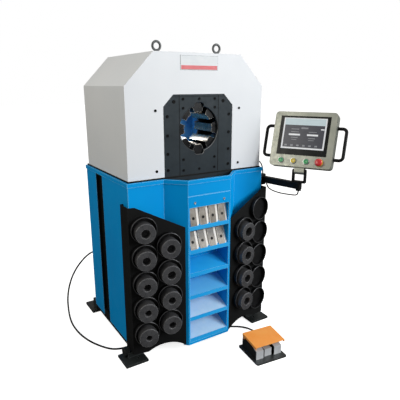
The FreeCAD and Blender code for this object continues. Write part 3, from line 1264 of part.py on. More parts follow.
def make_pedal_cord():
    """Cord from the pedal's gland to the cabinet's gland, with a gland at each end."""
    direction = pedal_placement().Rotation.multVec(V(0, 1, 0))
    socket = pedal_placement().multVec(V(PEDAL_GLAND_X.value, CHEEK_BACK.value, PEDAL_GLAND_Z.value))
    start = socket + direction * GLAND_LONG.value
    wall = V(GLAND_X.value, CAB_BACK.value, GLAND_Z.value)
    end = wall + V(0, GLAND_LONG.value, 0)
    make_cord("pedal_cord", [start] + CORD_POINTS + [end], CORD_R.value)
    stub = prism(wall - V(0, SHEET.value + 6, 0), wall, GLAND_R.value - 2, HOLE_SIDES)
    glands = [prism(socket, start, GLAND_R.value, HOLE_SIDES),
              prism(wall, end, GLAND_R.value, HOLE_SIDES).fuse(stub)]
    group("cord_glands", glands)


def make_panel_cords():
    """Cord from the head to the arm's pivot, and the one under the arm to the yoke's pivot."""
    exit_point = V(HEAD_HALF.value - HEAD_WALL.value, WIRE_Y.value, WIRE_Z.value)
    pivot = V(PIVOT_X.value, PIVOT_Y.value, BRACKET_HIGH.value)
    points = [exit_point, V(424, -319, 1002), V(441, -321, 984), V(450, -322, 962), V(454.5, -322, 942),
              pivot]
    make_cord("head_cord", points, WIRE_R.value)
    low = V(0, 0, BRACKET_LOW.value)
    end = V(ARM_LONG.value, 0, ARM_LOW.value - RUN.value - YOKE_T.value)
    local = [V(ARM_WIDE.value, 0, ARM_LOW.value), V(ARM_WIDE.value + 6, 0, low.z - 10),
             V(ARM_WIDE.value + 34, 0, low.z - 26), V(ARM_LONG.value / 2, 0, low.z - 34),
             V(ARM_LONG.value - 52, 0, low.z - 30), V(ARM_LONG.value - 8, 0, low.z - 26),
             V(ARM_LONG.value, 0, end.z - 10), end]
    place = turned(PIVOT_X, PIVOT_Y, 0, ARM_TURN)
    make_cord("arm_cord", [place.multVec(point) for point in local], WIRE_R.value)


def screw_places():
    """Centre, direction and radius of every visible screw head."""
    front = V(0, -1, 0)
    places = []
    for x, z in ((-250, 1308), (250, 1308), (-250, 1012), (250, 1012)):
        places.append((V(x, HEAD_FRONT.value, z), front, BOLT_R.value))
    for x in (-95, 0, 95):
        for z in (FACE_TOP.value - 22, 1002):
            places.append((V(x, FACE_FRONT.value, z), front, BOLT_R.value))
    for x in (-95, 95):
        for z in (1316, 1058):
            places.append((V(x, FACE_FRONT.value, z), front, BOLT_R.value))
    for x in (-185, 185):
        for z in (1278, 1184, 1093, 1011):
            places.append((V(x, FACE_FRONT.value, z), front, BOLT_R.value + 1))
    for x in (-147, 147):
        places.append((V(x, FACE_FRONT.value, 1348), front, BIG_BOLT_R.value))
    for x in (-90, 90):
        places.append((V(x, COL_FRONT.value, 850), front, BOLT_R.value))
    return places


def make_screws():
    shapes = [prism(point, point + direction * BOLT_HIGH.value, radius, SCREW_SIDES)
              for point, direction, radius in screw_places()]
    group("cover_screws", shapes)


make_feet()
make_base_frame()
make_side_panels()
make_back_panel()
make_front_panel()
make_rim_and_deck()
make_shelf_box()
make_shelves()
make_die_blocks()
make_rack_board(-1, "left_rack_board")
make_rack_board(1, "right_rack_board")
make_holders_and_sets()
make_head_housing()
make_liner()
make_face_plates()
make_press_frame()
make_beams()
make_wedges()
make_dies()
make_cylinder()
make_power_unit()
make_eyebolts()
make_arm_bracket()
make_arm()
make_yoke()
make_panel_case()
make_buttons()
make_handles()
make_pedal_base()
make_treadle()
make_pedal_cord()
make_panel_cords()
make_screws()

doc.recompute()
for item in doc.Objects:
    if "Invalid" in item.State or "Error" in item.State:
        raise RuntimeError("%s failed: %s" % (item.Label, item.State))
for node in nodes:
    if node.Shape.isNull() or not node.Shape.isValid():
        raise RuntimeError("%s has no valid shape" % node.Label)

os.makedirs("parts", exist_ok=True)
for node in nodes:
    node.Shape.exportStep("parts/%s.step" % node.Label)
print(len(nodes), "pieces written")
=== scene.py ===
import math

import bpy
from mathutils import Euler, Matrix, Vector


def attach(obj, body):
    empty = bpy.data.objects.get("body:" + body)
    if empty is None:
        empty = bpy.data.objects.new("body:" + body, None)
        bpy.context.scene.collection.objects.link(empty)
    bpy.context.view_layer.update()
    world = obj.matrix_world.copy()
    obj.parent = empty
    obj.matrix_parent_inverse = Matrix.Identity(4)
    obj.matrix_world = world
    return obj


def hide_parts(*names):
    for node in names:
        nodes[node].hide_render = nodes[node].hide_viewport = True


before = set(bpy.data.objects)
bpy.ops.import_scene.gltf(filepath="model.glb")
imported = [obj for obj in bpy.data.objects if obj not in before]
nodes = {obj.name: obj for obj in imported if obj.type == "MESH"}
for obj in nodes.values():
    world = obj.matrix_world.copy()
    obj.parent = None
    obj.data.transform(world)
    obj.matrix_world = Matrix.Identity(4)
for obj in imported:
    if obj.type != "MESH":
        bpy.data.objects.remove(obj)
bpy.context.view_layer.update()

# Hose crimping machine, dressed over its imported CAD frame. Lengths are in metres.

# Camera, solved from the photograph
CAMERA_PLACE = (-1.188, -2.234, 1.429)
CAMERA_TURN = -32.23
CAMERA_DIP = 15.01
CAMERA_LENS = 38.74

# Driving places, as in part.py
BORE_Z = 1.210
FACE_FRONT = -0.343
HEAD_FRONT = -0.345
HEAD_TOP = 1.580
COLUMN_FRONT = -0.446
SHELF_LOW = 0.079
SHELF_PITCH = 0.129
PIVOT = Vector((0.455, -0.322, 0))
ARM_LONG = 0.252
ARM_TURN = math.radians(-79)
PANEL_TURN = math.radians(-61.5)
PANEL_TILT = math.radians(-17.8)
TILT_HIGH = 0.9687
CASE_FRONT = -0.0275
BUTTON_HIGH = 0.054
BUTTON_PITCH = 0.070
PEDAL_TURN = math.radians(-6.5)
PEDAL_PLATE_T = 0.008


def colour(red, green, blue):
    """Linear colour of an sRGB one given from 0 to 255."""
    def linear(c):
        c = c / 255
        return c / 12.92 if c <= 0.04045 else ((c + 0.055) / 1.055) ** 2.4
    return (linear(red), linear(green), linear(blue), 1)


def add(tree, kind, inputs=None, **settings):
    """Add a shader node; an input that is a socket is linked, any other is set."""
    node = tree.nodes.new(kind)
    for key, item in settings.items():
        setattr(node, key, item)
    for key, item in (inputs or {}).items():
        if isinstance(item, bpy.types.NodeSocket):
            tree.links.new(item, node.inputs[key])
        else:
            node.inputs[key].default_value = item
    return node


def mixed(tree, factor, first, second):
    """Colour between two, by a factor."""
    node = add(tree, "ShaderNodeMix", {0: factor, 6: first, 7: second}, data_type="RGBA")
    return node.outputs[2]


def ranged(tree, item, low, high, out_low, out_high):
    """A value carried from one range to another, held at its ends."""
    node = add(tree, "ShaderNodeMapRange", {0: item, 1: low, 2: high, 3: out_low, 4: out_high})
    return node.outputs[0]


def noise(tree, place, scale, detail=3.0, stretch=None):
    """Noise from 0 to 1 at a place, stretched along an axis if wanted."""
    if stretch:
        place = add(tree, "ShaderNodeMapping", {"Vector": place, "Scale": stretch}).outputs[0]
    return add(tree, "ShaderNodeTexNoise", {"Vector": place, "Scale": scale, "Detail": detail}).outputs[0]


def edge_mask(tree, width):
    """1 along sharp outer edges, 0 on flat surfaces."""
    round_normal = add(tree, "ShaderNodeBevel", {"Radius": width}, samples=4).outputs[0]
    flat_normal = add(tree, "ShaderNodeNewGeometry").outputs["Normal"]
    dot = add(tree, "ShaderNodeVectorMath", {0: round_normal, 1: flat_normal}, operation="DOT_PRODUCT")
    return ranged(tree, dot.outputs["Value"], 0.985, 0.90, 0.0, 1.0)


def material(name, base, second, rough, metallic=0.0, cloud=4.0, grain=700.0, depth=0.00004,
             stretch=None, edge=None, edge_width=0.0018, coat=0.0, spread=0.08, gloss=0.5):
    """Two close tones in clouds, roughness that varies, a fine grain and a tone on sharp edges, which
    where lighter is a painted highlight with a little wear.
    """
    mat = bpy.data.materials.new(name)
    mat.use_nodes = True
    tree = mat.node_tree
    shader = tree.nodes["Principled BSDF"]
    place = add(tree, "ShaderNodeTexCoord").outputs["Object"]
    clouds = ranged(tree, noise(tree, place, cloud), 0.35, 0.65, 0.0, 1.0)
    tone = mixed(tree, clouds, base, second)
    # A lighter edge tone paints a highlight along sharp edges, with a little wear.
    if edge:
        tone = mixed(tree, edge_mask(tree, edge_width), tone, edge)
    tree.links.new(tone, shader.inputs["Base Color"])
    fine = noise(tree, place, grain, 2.0, stretch)
    smudge = noise(tree, place, cloud * 6, 4.0)
    roughness = ranged(tree, smudge, 0.3, 0.7, rough - spread, rough + spread)
    tree.links.new(roughness, shader.inputs["Roughness"])
    bump = add(tree, "ShaderNodeBump", {"Height": fine, "Distance": depth, "Strength": 0.6})
    tree.links.new(bump.outputs[0], shader.inputs["Normal"])
    shader.inputs["Metallic"].default_value = metallic
    shader.inputs["Specular IOR Level"].default_value = gloss
    shader.inputs["Coat Weight"].default_value = coat
    shader.inputs["Coat Roughness"].default_value = 0.12
    return mat


def glowing(name, base, strength):
    """Lit part of the touch screen, a little uneven as a backlight is."""
    mat = bpy.data.materials.new(name)
    mat.use_nodes = True
    tree = mat.node_tree
    shader = tree.nodes["Principled BSDF"]
    place = add(tree, "ShaderNodeTexCoord").outputs["Object"]
    darker = tuple(c * 0.82 for c in base[:3]) + (1,)
    tone = mixed(tree, noise(tree, place, 25.0), darker, base)
    tree.links.new(tone, shader.inputs["Base Color"])
    tree.links.new(tone, shader.inputs["Emission Color"])
    shader.inputs["Emission Strength"].default_value = strength
    shader.inputs["Roughness"].default_value = 0.25
    return mat


def toned_further(mat, mask, other):
    """Mix another tone into a material's base colour, by a mask."""
    tree = mat.node_tree
    base = tree.nodes["Principled BSDF"].inputs["Base Color"]
    tree.links.new(mixed(tree, mask, base.links[0].from_socket, other), base)


def die_material():
    """Blackened die with a bright machined bore face; the bore is near the crimping axis."""
    # The pale edge tone on the blackened die is a painted highlight along its edges.
    mat = material("die_steel", colour(10, 10, 11), colour(18, 18, 19), 0.30, 0.3,
                   stretch=(1, 0.05, 1), edge=colour(190, 190, 186), edge_width=0.0016, gloss=0.25)
    tree = mat.node_tree
    place = add(tree, "ShaderNodeTexCoord").outputs["Object"]
    axis = add(tree, "ShaderNodeVectorMath", {0: place, 1: (0, 0, BORE_Z)}, operation="SUBTRACT")
    across = add(tree, "ShaderNodeVectorMath", {0: axis.outputs[0], 1: (1, 0, 1)}, operation="MULTIPLY")
    reach = add(tree, "ShaderNodeVectorMath", {0: across.outputs[0]}, operation="LENGTH")
    bore_reach, soft = 0.0849, 0.0003
    bright = ranged(tree, reach.outputs["Value"], bore_reach - soft, bore_reach + soft, 1.0, 0.0)
    machined = mixed(tree, noise(tree, place, 60.0), colour(112, 104, 92), colour(142, 134, 122))
    toned_further(mat, bright, machined)
    metallic = ranged(tree, bright, 0, 1, 0.3, 0.9)
    tree.links.new(metallic, tree.nodes["Principled BSDF"].inputs["Metallic"])
    return mat


def toned_by_height(mat, low, high, below, front=None):
    """Give a material another tone below a height, and only behind a front plane if one is given."""
    tree = mat.node_tree
    place = add(tree, "ShaderNodeTexCoord").outputs["Object"]
    parts = add(tree, "ShaderNodeSeparateXYZ", {0: place})
    mask = ranged(tree, parts.outputs["Z"], low, high, 1.0, 0.0)
    if front is not None:
        behind = ranged(tree, parts.outputs["Y"], front, front + 0.001, 0.0, 1.0)
        mask = add(tree, "ShaderNodeMath", {0: mask, 1: behind}, operation="MULTIPLY").outputs[0]
    other = mixed(tree, noise(tree, place, 40.0, 5.0), *below)
    toned_further(mat, mask, other)
    return mat


def pedal_material():
    """Cast pedal body whose side faces are darkened with painted shade, on a blackened base plate."""
    mat = material("cast_aluminium", colour(196, 199, 202), colour(210, 213, 216), 0.42, 0.3,
                   cloud=30.0, grain=500.0, depth=0.0001, edge=colour(215, 216, 218))
    black = (colour(44, 48, 48), colour(58, 62, 62))
    toned_by_height(mat, PEDAL_PLATE_T + 0.0002, PEDAL_PLATE_T + 0.0010, black)
    tree = mat.node_tree
    # Faces turned sideways are painted near black as shade.
    normal = add(tree, "ShaderNodeTexCoord").outputs["Normal"]
    sideways = (math.cos(PEDAL_TURN), math.sin(PEDAL_TURN), 0)
    dot = add(tree, "ShaderNodeVectorMath", {0: normal, 1: sideways}, operation="DOT_PRODUCT")
    aside = add(tree, "ShaderNodeMath", {0: dot.outputs["Value"]}, operation="ABSOLUTE").outputs[0]
    toned_further(mat, ranged(tree, aside, 0.80, 0.90, 0.0, 1.0), colour(30, 33, 33))
    return mat


def lower_front_shade_steel():
    """Darker copy of the blocks' steel for the lower blocks' fronts: painted shade, darkest toward their
    tops.
    """
    mat = material("lower_front_shade_steel", colour(50, 47, 43), colour(66, 62, 57), 0.42, 0.2,
                   cloud=30.0, grain=400.0, stretch=(1, 1, 0.05))
    # Painted shade from the shelf above: the darker tone above this height, a lighter one below.
    foot = SHELF_LOW + SHELF_PITCH * 4
    return toned_by_height(mat, foot + 0.021, foot + 0.077, (colour(104, 98, 90), colour(124, 118, 110)))


def shelf_material():
    """Blue shelves, the lower ones paler with a painted reflection."""
    mat = material("shelf_coat", colour(26, 160, 232), colour(40, 166, 234), 0.40,
                   cloud=6.0, edge=colour(150, 222, 252), spread=0.05, gloss=0.2)
    behind_lips = COLUMN_FRONT + 0.004
    # The pale tones given here paint a reflection on the lower shelves, palest on the lowest ones; the
    # lips stay blue.
    reflection_below, strong_reflection_below, soft = 0.410, 0.282, 0.010
    reflection_tones = (colour(96, 182, 236), colour(84, 176, 234))
    bare = (colour(168, 212, 244), colour(198, 224, 248))
    toned_by_height(mat, reflection_below - soft, reflection_below + soft, reflection_tones, behind_lips)
    return toned_by_height(mat, strong_reflection_below - soft, strong_reflection_below + soft, bare, behind_lips)


# Lighter edge tones below, as on the blue rim, the shelves' lips, the feet, the beams and the treadle, are
# painted highlights with a little wear.
WHITE = material("white_powder_coat", colour(231, 233, 236), colour(226, 229, 233), 0.45,
                 cloud=2.0, edge=colour(240, 242, 244), spread=0.05, gloss=0.3)
BLUE = material("blue_powder_coat", colour(0, 156, 230), colour(0, 149, 223), 0.42,
                cloud=2.5, edge=colour(150, 222, 252), edge_width=0.0032, spread=0.05, gloss=0.08)
BLACK = material("black_powder_coat", colour(8, 9, 10), colour(13, 14, 14), 0.55,
                 cloud=6.0, edge=colour(44, 46, 48), spread=0.06, gloss=0.18)
FOOT_BLACK = material("foot_paint", colour(26, 30, 30), colour(36, 40, 40), 0.45,
                      cloud=12.0, edge=colour(96, 100, 100), gloss=0.3)
CUP_BLACK = material("holder_black", colour(7, 7, 8), colour(11, 11, 12), 0.42,
                     cloud=14.0, edge=colour(60, 60, 62), edge_width=0.0012, gloss=0.25)
# Lighter tone for the cups' rolled edges: a painted highlight.
CUP_RIM = material("holder_rim", colour(74, 74, 76), colour(92, 92, 94), 0.34, 0.5, cloud=14.0)
DARK_PLATE = material("blackened_plate", colour(33, 41, 46), colour(40, 48, 53), 0.52, 0.1,
                      cloud=9.0, stretch=(1, 1, 0.04), edge=colour(50, 58, 64), gloss=0.2)
BLACK_OXIDE = material("black_oxide", colour(3, 3, 4), colour(6, 6, 7), 0.50, 0.0,
                       edge=colour(14, 14, 15), edge_width=0.0008, gloss=0.1)
SET_STEEL = material("stored_die_steel", colour(64, 64, 66), colour(76, 76, 78), 0.45, 0.3,
                     cloud=18.0, edge=colour(172, 172, 174), edge_width=0.0014, gloss=0.4)
# Lighter copy of the blocks' steel for all but their fronts: a painted highlight.
BLOCK_HIGHLIGHT = material("block_highlight_steel", colour(238, 234, 228), colour(246, 243, 238), 0.40, 0.2,
                  cloud=25.0, grain=400.0, stretch=(1, 1, 0.05), edge=colour(252, 252, 250))
# Darker copy of the blocks' steel for the upper blocks' fronts: painted shade.
UPPER_FRONT_SHADE = material("upper_front_shade_steel", colour(98, 91, 81), colour(124, 117, 108), 0.42, 0.2,
                  cloud=30.0, grain=400.0, stretch=(1, 1, 0.05))
LOWER_FRONT_SHADE = lower_front_shade_steel()
# Paler, greyer copy of the blue paint for the tunnel: a painted reflection.
TUNNEL_BLUE = material("tunnel_coat", colour(72, 140, 184), colour(88, 150, 192), 0.34,
                       cloud=6.0, gloss=0.5)
MACHINED = material("machined_steel", colour(120, 120, 122), colour(138, 138, 140), 0.33, 0.9,
                    cloud=20.0, stretch=(1, 0.05, 1), edge=colour(190, 190, 190))
ZINC = material("zinc_plate", colour(190, 192, 195), colour(212, 214, 216), 0.24, 0.95, cloud=40.0)
FORGED = material("forged_steel", colour(74, 76, 76), colour(96, 98, 98), 0.45, 0.4, cloud=40.0, gloss=0.3)
CASE = material("brushed_case", colour(160, 163, 153), colour(174, 176, 166), 0.36, 0.6,
                cloud=12.0, grain=300.0, stretch=(0.05, 1, 1), edge=colour(72, 72, 68), edge_width=0.004)
GLASS = material("screen_glass", colour(14, 18, 18), colour(18, 22, 22), 0.22, 0.0, depth=0.0, gloss=0.2)
ORANGE = material("orange_coat", colour(253, 160, 74), colour(255, 170, 86), 0.45,
                  cloud=12.0, edge=colour(255, 190, 120), gloss=0.3)
PLASTIC = material("black_plastic", colour(9, 9, 10), colour(13, 13, 14), 0.45, cloud=20.0, gloss=0.2)
RUBBER = material("cord_sheath", colour(10, 10, 11), colour(16, 16, 17), 0.55, cloud=30.0, gloss=0.2)
CORE_PAINT = material("motor_paint", colour(70, 76, 84), colour(80, 86, 94), 0.45)
GREEN = material("green_cap", colour(60, 168, 100), colour(76, 184, 116), 0.25, cloud=60.0, coat=0.5)
YELLOW = material("yellow_cap", colour(226, 196, 60), colour(236, 208, 80), 0.25, cloud=60.0, coat=0.5)
RED = material("red_cap", colour(214, 30, 38), colour(228, 44, 50), 0.25, cloud=60.0, coat=0.5)
PLATE_WHITE = material("plate_white", colour(228, 231, 233), colour(222, 226, 229), 0.45,
                       cloud=30.0, edge=colour(96, 100, 106), edge_width=0.0035, gloss=0.2)
PLATE_RED = material("plate_red", colour(214, 84, 88), colour(204, 74, 80), 0.40, cloud=30.0)
DIE = die_material()

SCREEN_PALE = glowing("screen_pale", colour(196, 214, 220), 0.30)
SCREEN_FIELD = glowing("screen_field", colour(62, 64, 76), 0.20)
SCREEN_WHITE = glowing("screen_white", colour(226, 228, 232), 0.35)
SCREEN_GREY = glowing("screen_grey", colour(140, 143, 150), 0.20)

BEVEL = 0.0008


def dress(names, mat, bevel=BEVEL):
    """Give CAD nodes their material and softly rounded edges."""
    for name in names:
        obj = nodes[name]
        obj.data.materials.clear()
        obj.data.materials.append(mat)
        if bevel:
            soft = obj.modifiers.new("edge", "BEVEL")
            soft.width = bevel
            soft.segments = 2
            soft.limit_method = "ANGLE"
            soft.angle_limit = math.radians(40)


dress(["head_housing"], WHITE)
dress(["left_front_panel", "left_rear_panel", "right_front_panel", "right_rear_panel", "back_panel",
       "front_panel", "cabinet_rim", "shelf_box"], BLUE)
dress(["guard_tunnel"], TUNNEL_BLUE)
dress(["levelling_feet"], FOOT_BLACK)
dress(["side_channels", "base_frame", "deck_plate", "left_rack_board",
       "right_rack_board", "left_die_holders", "right_die_holders", "arm_bracket", "panel_arm",
       "panel_yoke", "press_frame", "oil_tank"], BLACK)
dress(["centre_face_plate", "side_face_plates", "rear_guide_plate", "lift_cylinder"], DARK_PLATE)
dress(["left_die_sets", "right_die_sets"], SET_STEEL)
dress(["upper_beam", "lower_beam", "left_wedge", "right_wedge", "lift_piston"], MACHINED)
dress(["top_die", "bottom_die", "left_die", "right_die", "upper_left_die", "upper_right_die",
       "lower_left_die", "lower_right_die"], DIE)
dress(["lifting_eyes"], FORGED, 0)
dress(["pump_motor"], CORE_PAINT)
dress(["panel_case"], CASE, 0.004)
dress(["touch_glass"], GLASS, 0.0004)
dress(["panel_handles"], PLASTIC, 0)
dress(["cord_glands"], PLASTIC)
dress(["pedal_base"], pedal_material(), 0.0015)
dress(["die_shelves"], shelf_material())
dress(["pedal_treadle"], ORANGE, 0.0012)


def mesh_piece(name, verts, faces, mat, body, smooth=40):
    """A new piece in the row frame, with smooth shading between faces that meet gently."""
    mesh = bpy.data.meshes.new(name)
    mesh.from_pydata([tuple(v) for v in verts], [], faces)
    mesh.validate()
    mesh.materials.append(mat)
    obj = bpy.data.objects.new(name, mesh)
    bpy.context.scene.collection.objects.link(obj)
    mesh.shade_smooth()
    mesh.set_sharp_from_angle(angle=math.radians(smooth))
    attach(obj, body)
    return obj


def lathe(rings, place, count=32, shape=None):
    """Rings of (radius, height) about local Z, closed at both ends. shape(angle) scales a ring's
    radius where the ring's third item is True."""
    verts, faces = [], []
    for ring in rings:
        radius, height = ring[:2]
        shaped = len(ring) > 2
        for i in range(count):
            angle = 2 * math.pi * i / count
            r = radius * (shape(angle) if shaped else 1.0)
            verts.append(place @ Vector((r * math.cos(angle), r * math.sin(angle), height)))
    for k in range(len(rings) - 1):
        for i in range(count):
            j = (i + 1) % count
            faces.append((k * count + i, k * count + j, (k + 1) * count + j, (k + 1) * count + i))
    faces.append(tuple(reversed(range(count))))
    top = (len(rings) - 1) * count
    faces.append(tuple(range(top, top + count)))
    return verts, faces


def joined(parts):
    """Several (verts, faces) as one."""
    verts, faces = [], []
    for part_verts, part_faces in parts:
        shift = len(verts)
        verts.extend(part_verts)
        faces.extend(tuple(i + shift for i in face) for face in part_faces)
    return verts, faces


def hexagon(angle):
    """Radius of a hexagon of unit corner radius at an angle."""
    sector = math.pi / 3
    return math.cos(sector / 2) / math.cos((angle % sector) - sector / 2)


def facing(point, direction):
    """Matrix at a point whose local Z is the direction."""
    turn = Vector((0, 0, 1)).rotation_difference(Vector(direction)).to_matrix().to_4x4()
    return Matrix.Translation(Vector(point)) @ turn


def socket_head(radius, height, place):
    """Cap screw with a hexagon socket."""
    edge = radius * 0.14
    socket = radius * 0.62
    rings = [(radius, 0), (radius, height - edge), (radius - edge, height), (socket, height, True),
             (socket, height * 0.35, True), (socket * 0.3, height * 0.28, True)]
    return lathe(rings, place, 24, hexagon)


FRONTWARD = (0, -1, 0)
SCREW_R = 0.0068
SCREW_HIGH = 0.003


def screw_heads(front, columns, rows, radius=SCREW_R):
    """Screw heads on a front face, in every row of every column."""
    return [socket_head(radius, SCREW_HIGH, facing((x, front, z), FRONTWARD))
            for x in columns for z in rows]


def make_screws():
    """Dark socket screws on the head and the face plates, plated ones on the column."""
    heads = screw_heads(HEAD_FRONT, columns=(-0.250, 0.250), rows=(1.308, 1.012))
    heads += screw_heads(FACE_FRONT, columns=(-0.095, 0, 0.095), rows=(1.360, 1.002))
    heads += screw_heads(FACE_FRONT, columns=(-0.095, 0.095), rows=(1.316, 1.058))
    heads += screw_heads(FACE_FRONT, columns=(-0.185, 0.185), rows=(1.278, 1.184, 1.093, 1.011),
                         radius=SCREW_R + 0.001)
    heads += screw_heads(FACE_FRONT, columns=(-0.147, 0.147), rows=(1.348,), radius=0.009)
    screws = mesh_piece("plate_screws", *joined(heads), BLACK_OXIDE, "machine")
    column = screw_heads(COLUMN_FRONT, columns=(-0.090, 0.090), rows=(0.850,))
    painted = mesh_piece("column_screws", *joined(column), ZINC, "machine")
    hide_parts("cover_screws")
    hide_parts("cover_screws")


def slab(low, high, place, edge=0.0):
    """Box between two local corners, its front (local -Y) edges chamfered."""
    x0, y0, z0 = low
    x1, y1, z1 = high
    loops = [(0, y1), (0, y0 + edge), (edge, y0)] if edge else [(0, y1), (0, y0)]
    verts, faces = [], []
    for inset, y in loops:
        for x, z in ((x0 + inset, z0 + inset), (x1 - inset, z0 + inset),
                     (x1 - inset, z1 - inset), (x0 + inset, z1 - inset)):
            verts.append(place @ Vector((x, y, z)))
    for k in range(len(loops) - 1):
        for i in range(4):
            j = (i + 1) % 4
            faces.append((k * 4 + i, (k + 1) * 4 + i, (k + 1) * 4 + j, k * 4 + j))
    faces.append((0, 1, 2, 3))
    top = (len(loops) - 1) * 4
    faces.append((top + 3, top + 2, top + 1, top))
    return verts, faces


SIGN_HALF = 0.110
SIGN_LOW = 1.498
SIGN_TOP = 1.567
SIGN_T = 0.0016
BAND_HALF = 0.105
BAND_LOW = 1.501
BAND_TOP = 1.520


def make_nameplate():
    """Bare plate on the head, with a plain coloured band."""
    here = Matrix.Translation((0, HEAD_FRONT, 0))
    bare = slab((-SIGN_HALF, -SIGN_T, SIGN_LOW), (SIGN_HALF, 0, SIGN_TOP), here, SIGN_T / 2)
    plate = mesh_piece("bare_plate", *bare, PLATE_WHITE, "machine")
    strip = slab((-BAND_HALF, -SIGN_T - 0.0004, BAND_LOW), (BAND_HALF, -SIGN_T + 0.0002, BAND_TOP), here)
    band = mesh_piece("plate_band", *strip, PLATE_RED, "machine")


JOINT_X = 0.117
JOINT_HALF = 0.0016
JOINT_LOW = 0.9788
JOINT_TOP = 1.3815
FOLD_HALF = 0.160
FOLD_LOW = 1.3705
FOLD_TOP = 1.3722


def make_plate_lines():
    """Shadowed joints between the face plates, and the fold near their top."""
    here = Matrix.Translation((0, FACE_FRONT, 0))
    near, far = -0.0002, 0.0012
    lines = [slab((x - JOINT_HALF, near, JOINT_LOW), (x + JOINT_HALF, far, JOINT_TOP), here)
             for x in (-JOINT_X, JOINT_X)]
    lines.append(slab((-FOLD_HALF, near, FOLD_LOW), (FOLD_HALF, far, FOLD_TOP), here))
    piece = mesh_piece("plate_joints", *joined(lines), BLACK_OXIDE, "machine")


THROAT_R = 0.115
NOTCH_HALF = 0.0285
NOTCH_TOP = 0.131
NOTCH_CORNER = 0.015
PLATE_HALF = 0.1165
PLATE_LOW = 0.946
PLATE_TOP = 1.382
PLATE_T = 0.012
PLATE_EDGE = 0.0026


def throat_reach(angle):
    """Distance from the crimping axis to the edge of the throat, with its round notches."""
    across, up = abs(math.cos(angle)), abs(math.sin(angle))
    middle_x, middle_z = NOTCH_HALF - NOTCH_CORNER, NOTCH_TOP - NOTCH_CORNER
    if NOTCH_TOP * across <= middle_x * up:
        notch = NOTCH_TOP / up
    elif NOTCH_HALF * up <= middle_z * across:
        notch = NOTCH_HALF / across
    else:
        aside = middle_x * up - middle_z * across
        notch = middle_x * across + middle_z * up + math.sqrt(max(0.0, NOTCH_CORNER ** 2 - aside ** 2))
    return max(THROAT_R, notch)


def make_centre_plate():
    """Front plate with the throat, its edge turned to a bright chamfer."""
    corners = [math.atan2(z - BORE_Z, x) % (2 * math.pi) for x in (-PLATE_HALF, PLATE_HALF)
               for z in (PLATE_LOW, PLATE_TOP)]
    angles = sorted([2 * math.pi * i / 360 for i in range(360)] + corners)
    rings = [[], [], [], [], []]
    for angle in angles:
        across, up = math.cos(angle), math.sin(angle)
        reaches = [PLATE_HALF / abs(across)] if abs(across) > 1e-6 else []
        if up > 1e-6:
            reaches.append((PLATE_TOP - BORE_Z) / up)
        elif up < -1e-6:
            reaches.append((PLATE_LOW - BORE_Z) / up)
        outer = min(reaches)
        inner = throat_reach(angle)
        wide = min(inner + PLATE_EDGE, outer - 0.0002)
        steps = ((outer, PLATE_T), (outer, 0), (wide, 0), (inner, PLATE_EDGE), (inner, PLATE_T))
        for ring, (reach, deep) in zip(rings, steps):
            ring.append((reach * across, FACE_FRONT + deep, BORE_Z + reach * up))
    count = len(angles)
    verts = [point for ring in rings for point in ring]
    face_sets = {"plate": [], "edge": []}
    for k in range(5):
        kind = "edge" if k == 2 else "plate"
        for i in range(count):
            j = (i + 1) % count
            near, far = k * count, (k + 1) % 5 * count
            face_sets[kind].append((near + i, near + j, far + j, far + i))
    plate = mesh_piece("centre_plate", verts, face_sets["plate"], DARK_PLATE, "machine", 30)
    chamfer = mesh_piece("throat_chamfer", verts, face_sets["edge"], MACHINED, "machine", 30)
    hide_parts("centre_face_plate")


BLOCK_HALF = 0.0285
BLOCK_TALL = 0.098
BLOCK_DEEP = 0.034
FACET_WIDE = 0.019
FACET_DEEP = 0.0095
BLOCK_PITCH = 0.060
BLOCK_SHIFT = 0.006
BLOCK_BEHIND = 0.0035
SHELF_RISE = math.radians(23)
HOLE_R = 0.0080
HOLE_HIGH = 0.042


def die_block(x, foot, lean, bright, dark, holes, stud):
    """One block: front with a hole in the darker copy of its steel, which is painted shade, the facet
    along its right edge and the other faces in the lighter copy, which is a painted highlight, and a stud
    on top if wanted.
    """
    place = Matrix.Translation((x, COLUMN_FRONT + BLOCK_BEHIND, foot)) @ Matrix.Rotation(-lean, 4, "X")
    lift = BLOCK_DEEP * math.tan(SHELF_RISE - lean)
    outline = [(-BLOCK_HALF, 0), (BLOCK_HALF - FACET_WIDE, 0), (BLOCK_HALF, FACET_DEEP),
               (BLOCK_HALF, BLOCK_DEEP), (-BLOCK_HALF, BLOCK_DEEP)]
    low = [place @ Vector((u, v, max(0.0, lift) * v / BLOCK_DEEP + 0.0004)) for u, v in outline]
    top = [place @ Vector((u, v, BLOCK_TALL)) for u, v in outline]
    sides = [(i, (i + 1) % 5, 5 + (i + 1) % 5, 5 + i) for i in range(5)]
    caps = [(4, 3, 2, 1, 0), (5, 6, 7, 8, 9)]
    dark.append((low + top, [sides[0]]))
    bright.append((low + top, sides[1:] + caps))
    hole_place = place @ Matrix.Translation((-FACET_WIDE / 2, -0.0001, HOLE_HIGH))
    hole_place = hole_place @ Matrix.Rotation(math.pi / 2, 4, "X")
    holes.append(lathe([(HOLE_R, -0.001), (HOLE_R, 0.0002)], hole_place, 24))
    if stud:
        pin = [(0.0030, -0.001), (0.0030, 0.0080), (0.0024, 0.0088)]
        stud_place = place @ Matrix.Translation((-0.002, BLOCK_DEEP / 3, BLOCK_TALL))
        bright.append(lathe(pin, stud_place, 16))


